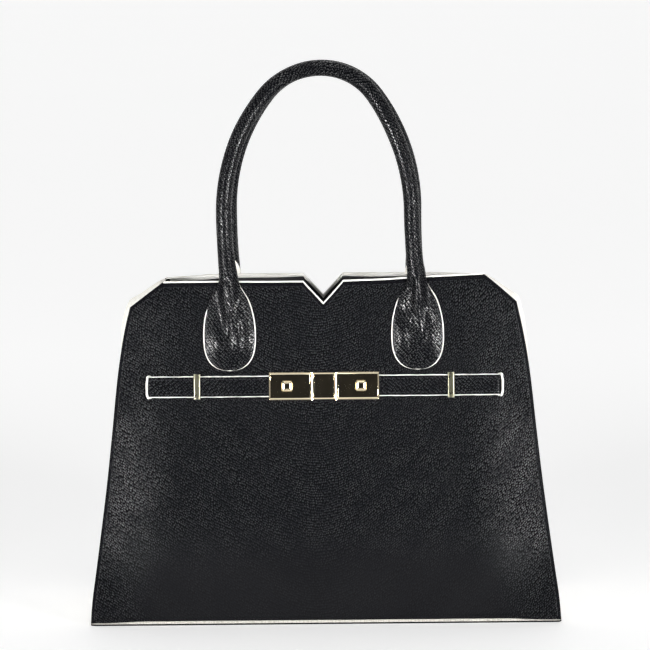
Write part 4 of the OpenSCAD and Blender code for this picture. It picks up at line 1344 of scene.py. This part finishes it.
def square_knob(name, side):
    """A square knob with soft corners, a broad bevelled ring and a small sunk face, on its round shank."""
    turn = full_turn(64)
    steps = [  # half width, power of the rounded square, height above the leather
        (0.0015, 1.0, 0.0020), (0.0015, 1.0, 0.00488), (0.0030, 0.6, 0.0049), (0.00395, 0.34, 0.0049),
        (0.0041, 0.34, 0.00505), (0.0041, 0.34, 0.0064), (0.0039, 0.34, 0.0069), (0.0034, 0.34, 0.0074),
        (0.0029, 0.34, 0.00765), (0.0026, 0.32, 0.0077), (0.00235, 0.3, 0.00762), (0.00225, 0.28, 0.0073),
        (0.00215, 0.28, 0.0072), (0.0019, 0.28, 0.0072), (0.0008, 0.3, 0.0072),
    ]
    rings = []
    for half, power, out in steps:
        across, up = rounded(np.cos(turn), half, power), rounded(np.sin(turn), half, power)
        rings.append(on_panel(side * KNOB_X + across, BELT_U + up, out))
    declare(add_piece(f"{name}_gold", *loft(rings), pale_gold), name, "pale_gold", name)


def on_border(place):
    """Whether a place on a plate is on its upper, lower or far border."""
    across, up, _ = (float(v[0]) for v in in_panel([place]))
    return abs(abs(across) - PLATE_FAR_X) < 0.0002 or abs(abs(up - BELT_U) - PLATE_HALF_H) < 0.0002


def at_plate_top(place):
    return abs(float(in_panel([place])[2][0]) - PLATE_TOP) < 0.00005


def slope_rim(shell):
    """Lets the top of a raised rim fall away to its outer border, where it catches the light."""
    fall = 0.0009
    down = Vector(on_panel(0, 0, -fall) - on_panel(0, 0, 0))
    moved = [v for v in shell.verts if at_plate_top(v.co[:]) and on_border(v.co[:])]
    for vert in moved:
        vert.co += down
    shell.normal_update()
    lands = {face for vert in moved for face in vert.link_faces if face.normal.dot(down) < -0.1 * fall}
    bmesh.ops.triangulate(shell, faces=list(lands))


def inner_rim(edge):
    """Edges of a raised rim's crest, along its face."""
    ends = [v.co[:] for v in edge.verts]
    return all(at_plate_top(end) for end in ends) and not on_border(ends[0]) and edge.calc_length() > 0.0025


RIM_ROUNDS = [(inner_rim, 0.0002, 1)]
KEEPER_ROUNDS = [(at_front(KEEPER_FRONT, 0.002), 0.0009, 3), (longer_than(0.002), 0.00015, 2)]
for word, side in (("left", -1), ("right", 1)):
    plate, keeper, backing = f"{word}_plate", f"{word}_keeper", f"{word}_backing"
    polished(f"{plate}_gold", plate, plate, pale_gold, "pale_gold", RIM_ROUNDS, slope_rim)
    polished(f"{keeper}_gold", keeper, keeper, shaded_satin_gold, "pale_gold", KEEPER_ROUNDS)
    square_knob(f"{word}_knob", side)
    polished(f"{backing}_gold", f"{backing}_plate", "bag", pale_gold, "pale_gold", [(longer_than(0.01), 0.00025, 2)])
polished("centre_plate_gold", "centre_plate", "bag", pale_gold, "pale_gold", RIM_ROUNDS, slope_rim)
for name in ("front_snap", "back_snap"):
    polished(f"{name}_steel", name, "bag", snap_steel, "snap_steel", [(lambda edge: True, 0.0003, 2)])

CARRIED = {"floor_board": (board_card, "board")}
for name in ("clasp_rivets", "left_hinge_pin", "right_hinge_pin", "left_knob_disc", "right_knob_disc"):
    CARRIED[name] = (pale_gold, "pale_gold")
for name, (material, slot_name) in CARRIED.items():
    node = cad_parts[name]
    node.data.materials.clear()
    node.data.materials.append(material)
    node.data.shade_smooth()


# Stitches: geometry nodes lay short threads along seams


STITCH_SIZES = {"Spacing": 0.0041, "Stitch Length": 0.0031, "Thread Width": 0.0006, "Thread Height": 0.00042}


def stitch_tree():
    """Lays one thread after another along each line of the mesh that it is given."""
    tree = bpy.data.node_groups.new("stitches along a seam", "GeometryNodeTree")
    face = tree.interface
    face.new_socket("Geometry", in_out="INPUT", socket_type="NodeSocketGeometry")
    for label, value in STITCH_SIZES.items():
        face.new_socket(label, in_out="INPUT", socket_type="NodeSocketFloat").default_value = value
    face.new_socket("Material", in_out="INPUT", socket_type="NodeSocketMaterial")
    face.new_socket("Geometry", in_out="OUTPUT", socket_type="NodeSocketGeometry")
    given = tree.nodes.new("NodeGroupInput").outputs

    def step(kind, inputs=None, **settings):
        return add_node(tree, kind, inputs, **settings).outputs

    curve = step("GeometryNodeMeshToCurve", {"Mesh": given["Geometry"]})[0]
    places = step("GeometryNodeResampleCurve", {"Curve": curve, "Length": given["Spacing"]}, mode="LENGTH")[0]
    ball = step("GeometryNodeMeshUVSphere", {"Segments": 8, "Rings": 5, "Radius": 0.5})[0]
    sizes = {i: given[label] for i, label in enumerate(list(STITCH_SIZES)[1:])}
    size = step("ShaderNodeCombineXYZ", sizes)[0]
    one = step("GeometryNodeTransform", {"Geometry": ball, "Scale": size})[0]
    facing = step("GeometryNodeInputNamedAttribute", {"Name": "facing"}, data_type="FLOAT_VECTOR")["Attribute"]
    run = step("GeometryNodeInputTangent")[0]
    along = step("FunctionNodeAlignRotationToVector", {"Vector": run}, axis="X")[0]
    turned_up = {"Rotation": along, "Vector": facing}
    laid = step("FunctionNodeAlignRotationToVector", turned_up, axis="Z", pivot_axis="X")[0]
    placed = step("GeometryNodeInstanceOnPoints", {"Points": places, "Instance": one, "Rotation": laid})[0]
    real = step("GeometryNodeRealizeInstances", {"Geometry": placed})[0]
    smooth = step("GeometryNodeSetShadeSmooth", {"Geometry": real})[0]
    painted = step("GeometryNodeSetMaterial", {"Geometry": smooth, "Material": given["Material"]})[0]
    tree.links.new(painted, tree.nodes.new("NodeGroupOutput").inputs[0])
    return tree


STITCHES = stitch_tree()


def stitch(name, seams, **sizes):
    """One mesh of black stitches along seams of the bag, each seam being (places, facing direction)."""
    points, edges, facing = [], [], []
    for places, out in seams:
        start = len(points)
        points += [tuple(p) for p in places]
        edges += [(start + i, start + i + 1) for i in range(len(places) - 1)]
        facing += [tuple(out)] * len(places)
    mesh = bpy.data.meshes.new(name)
    mesh.from_pydata(points, edges, [])
    mark = mesh.attributes.new("facing", "FLOAT_VECTOR", "POINT")
    mark.data.foreach_set("vector", np.array(facing, np.float32).ravel())
    piece = add_object(name, mesh)
    sewn = piece.modifiers.new("stitches", "NODES")
    sewn.node_group = STITCHES
    sockets = {s.name: s.identifier for s in STITCHES.interface.items_tree if s.in_out == "INPUT"}
    sewn[sockets["Material"]] = thread
    for label, value in sizes.items():
        sewn[sockets[label.replace("_", " ").title()]] = value
    made_real(piece)
    declare(piece, "bag", "black_leather")


def panel_seam(back):
    """The seam inside the edge of a panel: up one side to the shoulder and corner, along the top and down again."""
    ups = np.linspace(0.004, SHOULDER_U, 80)
    side = np.stack([half_width(ups), ups], -1)
    corner = [(TOP_W / 2, PANEL_TOP), (NOTCH_W / 2, PANEL_TOP), (0, PANEL_TOP - NOTCH_DEPTH)]
    half = np.concatenate([side, corner]) - (0, TOP_SEAM_DROP)
    line = even_steps(inset_line(np.concatenate([half, half[-2::-1] * (-1, 1)]), SEAM_INSET), 0.0008)
    rise = panel_bow(line[:, 0], line[:, 1]) - 0.00006
    line[:, 1] += edge_lift(line[:, 0], line[:, 1], back)
    return on_panel(line[:, 0], line[:, 1], rise, back), panel_out(back)


def tab_seam(side, back):
    line = tab_outline(0.66, 0.80, TAB_SEAM_INSET)
    wide = tab_half_width((line[:, 1] - PANEL_L + TAB_H) / TAB_H)
    rise = TAB_T + 0.0006 * (1 - (line[:, 0] / wide) ** 2) - 0.00012
    return on_panel(side * (LEG_X + line[:, 0]), line[:, 1], rise, back), panel_out(back)


def strap_seam(side, edge):
    x, up = np.linspace(0.0425, 0.1305, 120), BELT_U + edge * (STRAP_H / 2 - STRAP_SEAM_INSET)
    return on_panel(side * x, up, STRAP_BACK + STRAP_T + 0.00002), panel_out()


stitch("panel_stitches", [panel_seam(False), panel_seam(True)], spacing=0.0039)
FINE = {"spacing": 0.0034, "stitch_length": 0.0026}
stitch("tab_stitches", [tab_seam(s, b) for s in (-1, 1) for b in (False, True)], **FINE)
stitch("strap_stitches", [strap_seam(s, e) for s in (-1, 1) for e in (-1, 1)], **FINE)


# Studio: pale floor, soft lights, the photograph's camera


def studio_floor():
    """A wide pale floor that glows a little more further back, as a lit backdrop does."""
    mesh = bpy.data.meshes.new("studio_floor")
    mesh.from_pydata([(-40, -0.6, 0), (40, -0.6, 0), (40, 80, 0), (-40, 80, 0)], [], [(0, 1, 2, 3)])
    made, tree, shader = new_material("pale floor", {"Roughness": 0.6, "Specular IOR Level": 0.25})
    place = object_place(tree)
    away = add_node(tree, "ShaderNodeSeparateXYZ", {0: place}).outputs[1]
    join(tree, shader, {
        "Base Color": tint(tree, noise(tree, place, 0.8, 2.0), (0.86, 0.86, 0.86), (0.84, 0.84, 0.84)),
        "Emission Color": (1, 1, 1, 1),
        "Emission Strength": scaled(tree, away, 0.2, 1.6, 0.275, 0.385),
    })
    mesh.materials.append(made)
    add_object("studio_floor", mesh)


def softbox(name, place, size, power, target, spread=180):
    """A soft light that points at a target, its beam as wide as its grid lets through."""
    light = bpy.data.lights.new(name, "AREA")
    light.shape, light.size, light.size_y, light.energy = "RECTANGLE", size[0], size[1], power
    light.spread = math.radians(spread)
    lamp = add_object(name, light)
    lamp.location = place
    lamp.rotation_mode = "QUATERNION"
    lamp.rotation_quaternion = (Vector(target) - Vector(place)).to_track_quat("-Z", "Y")


def studio_world():
    """White for the camera, and for light and reflections a pale room that is dark behind the camera."""
    world = bpy.data.worlds.new("studio")
    world.use_nodes = True
    tree = world.node_tree
    tree.nodes.clear()
    place = add_node(tree, "ShaderNodeTexCoord").outputs["Generated"]
    parts = add_node(tree, "ShaderNodeSeparateXYZ", {0: place}).outputs
    high = scaled(tree, parts[2], 0.72, 0.95, 0.02, 0.85)
    behind = sums(tree, "MAXIMUM", scaled(tree, parts[1], -0.45, 0.15, 0.02, 0.86), high)
    room = add_node(tree, "ShaderNodeBackground", {0: (1, 1, 1, 1), 1: behind})
    white = add_node(tree, "ShaderNodeBackground", {0: (1, 1, 1, 1), 1: 0.93})
    seen = add_node(tree, "ShaderNodeLightPath").outputs["Is Camera Ray"]
    both = add_node(tree, "ShaderNodeMixShader", {0: seen, 1: room.outputs[0], 2: white.outputs[0]})
    add_node(tree, "ShaderNodeOutputWorld", {"Surface": both.outputs[0]})
    bpy.context.scene.world = world


studio_floor()
studio_world()
softbox("left_softbox", (-0.93, -1.22, 0.32), (0.34, 0.34), 1.15, (0, 0, 0.26), 40)
softbox("right_softbox", (0.95, -1.2, 0.32), (0.34, 0.34), 1.35, (0, 0, 0.26), 40)
softbox("top_softbox", (0, -0.8, 1.4), (1.0, 0.4), 3.0, (0, 0, 0.2))

camera = add_object("photo_camera", bpy.data.cameras.new("photo_camera"))
camera.location = (0, -2.2, 0.5)
aim = Vector((0.00115, 0, 0.2206)) - camera.location
camera.rotation_mode = "QUATERNION"
roll = math.radians(-0.5)
camera.rotation_quaternion = aim.to_track_quat("-Z", "Y") @ Quaternion((0, 0, 1), roll)
camera.data.lens, camera.data.sensor_width = 159.1, 36
camera.data.clip_start, camera.data.clip_end = 0.05, 200
bpy.context.scene.camera = camera
bpy.context.scene.view_settings.view_transform = "Standard"

bpy.context.view_layer.update()
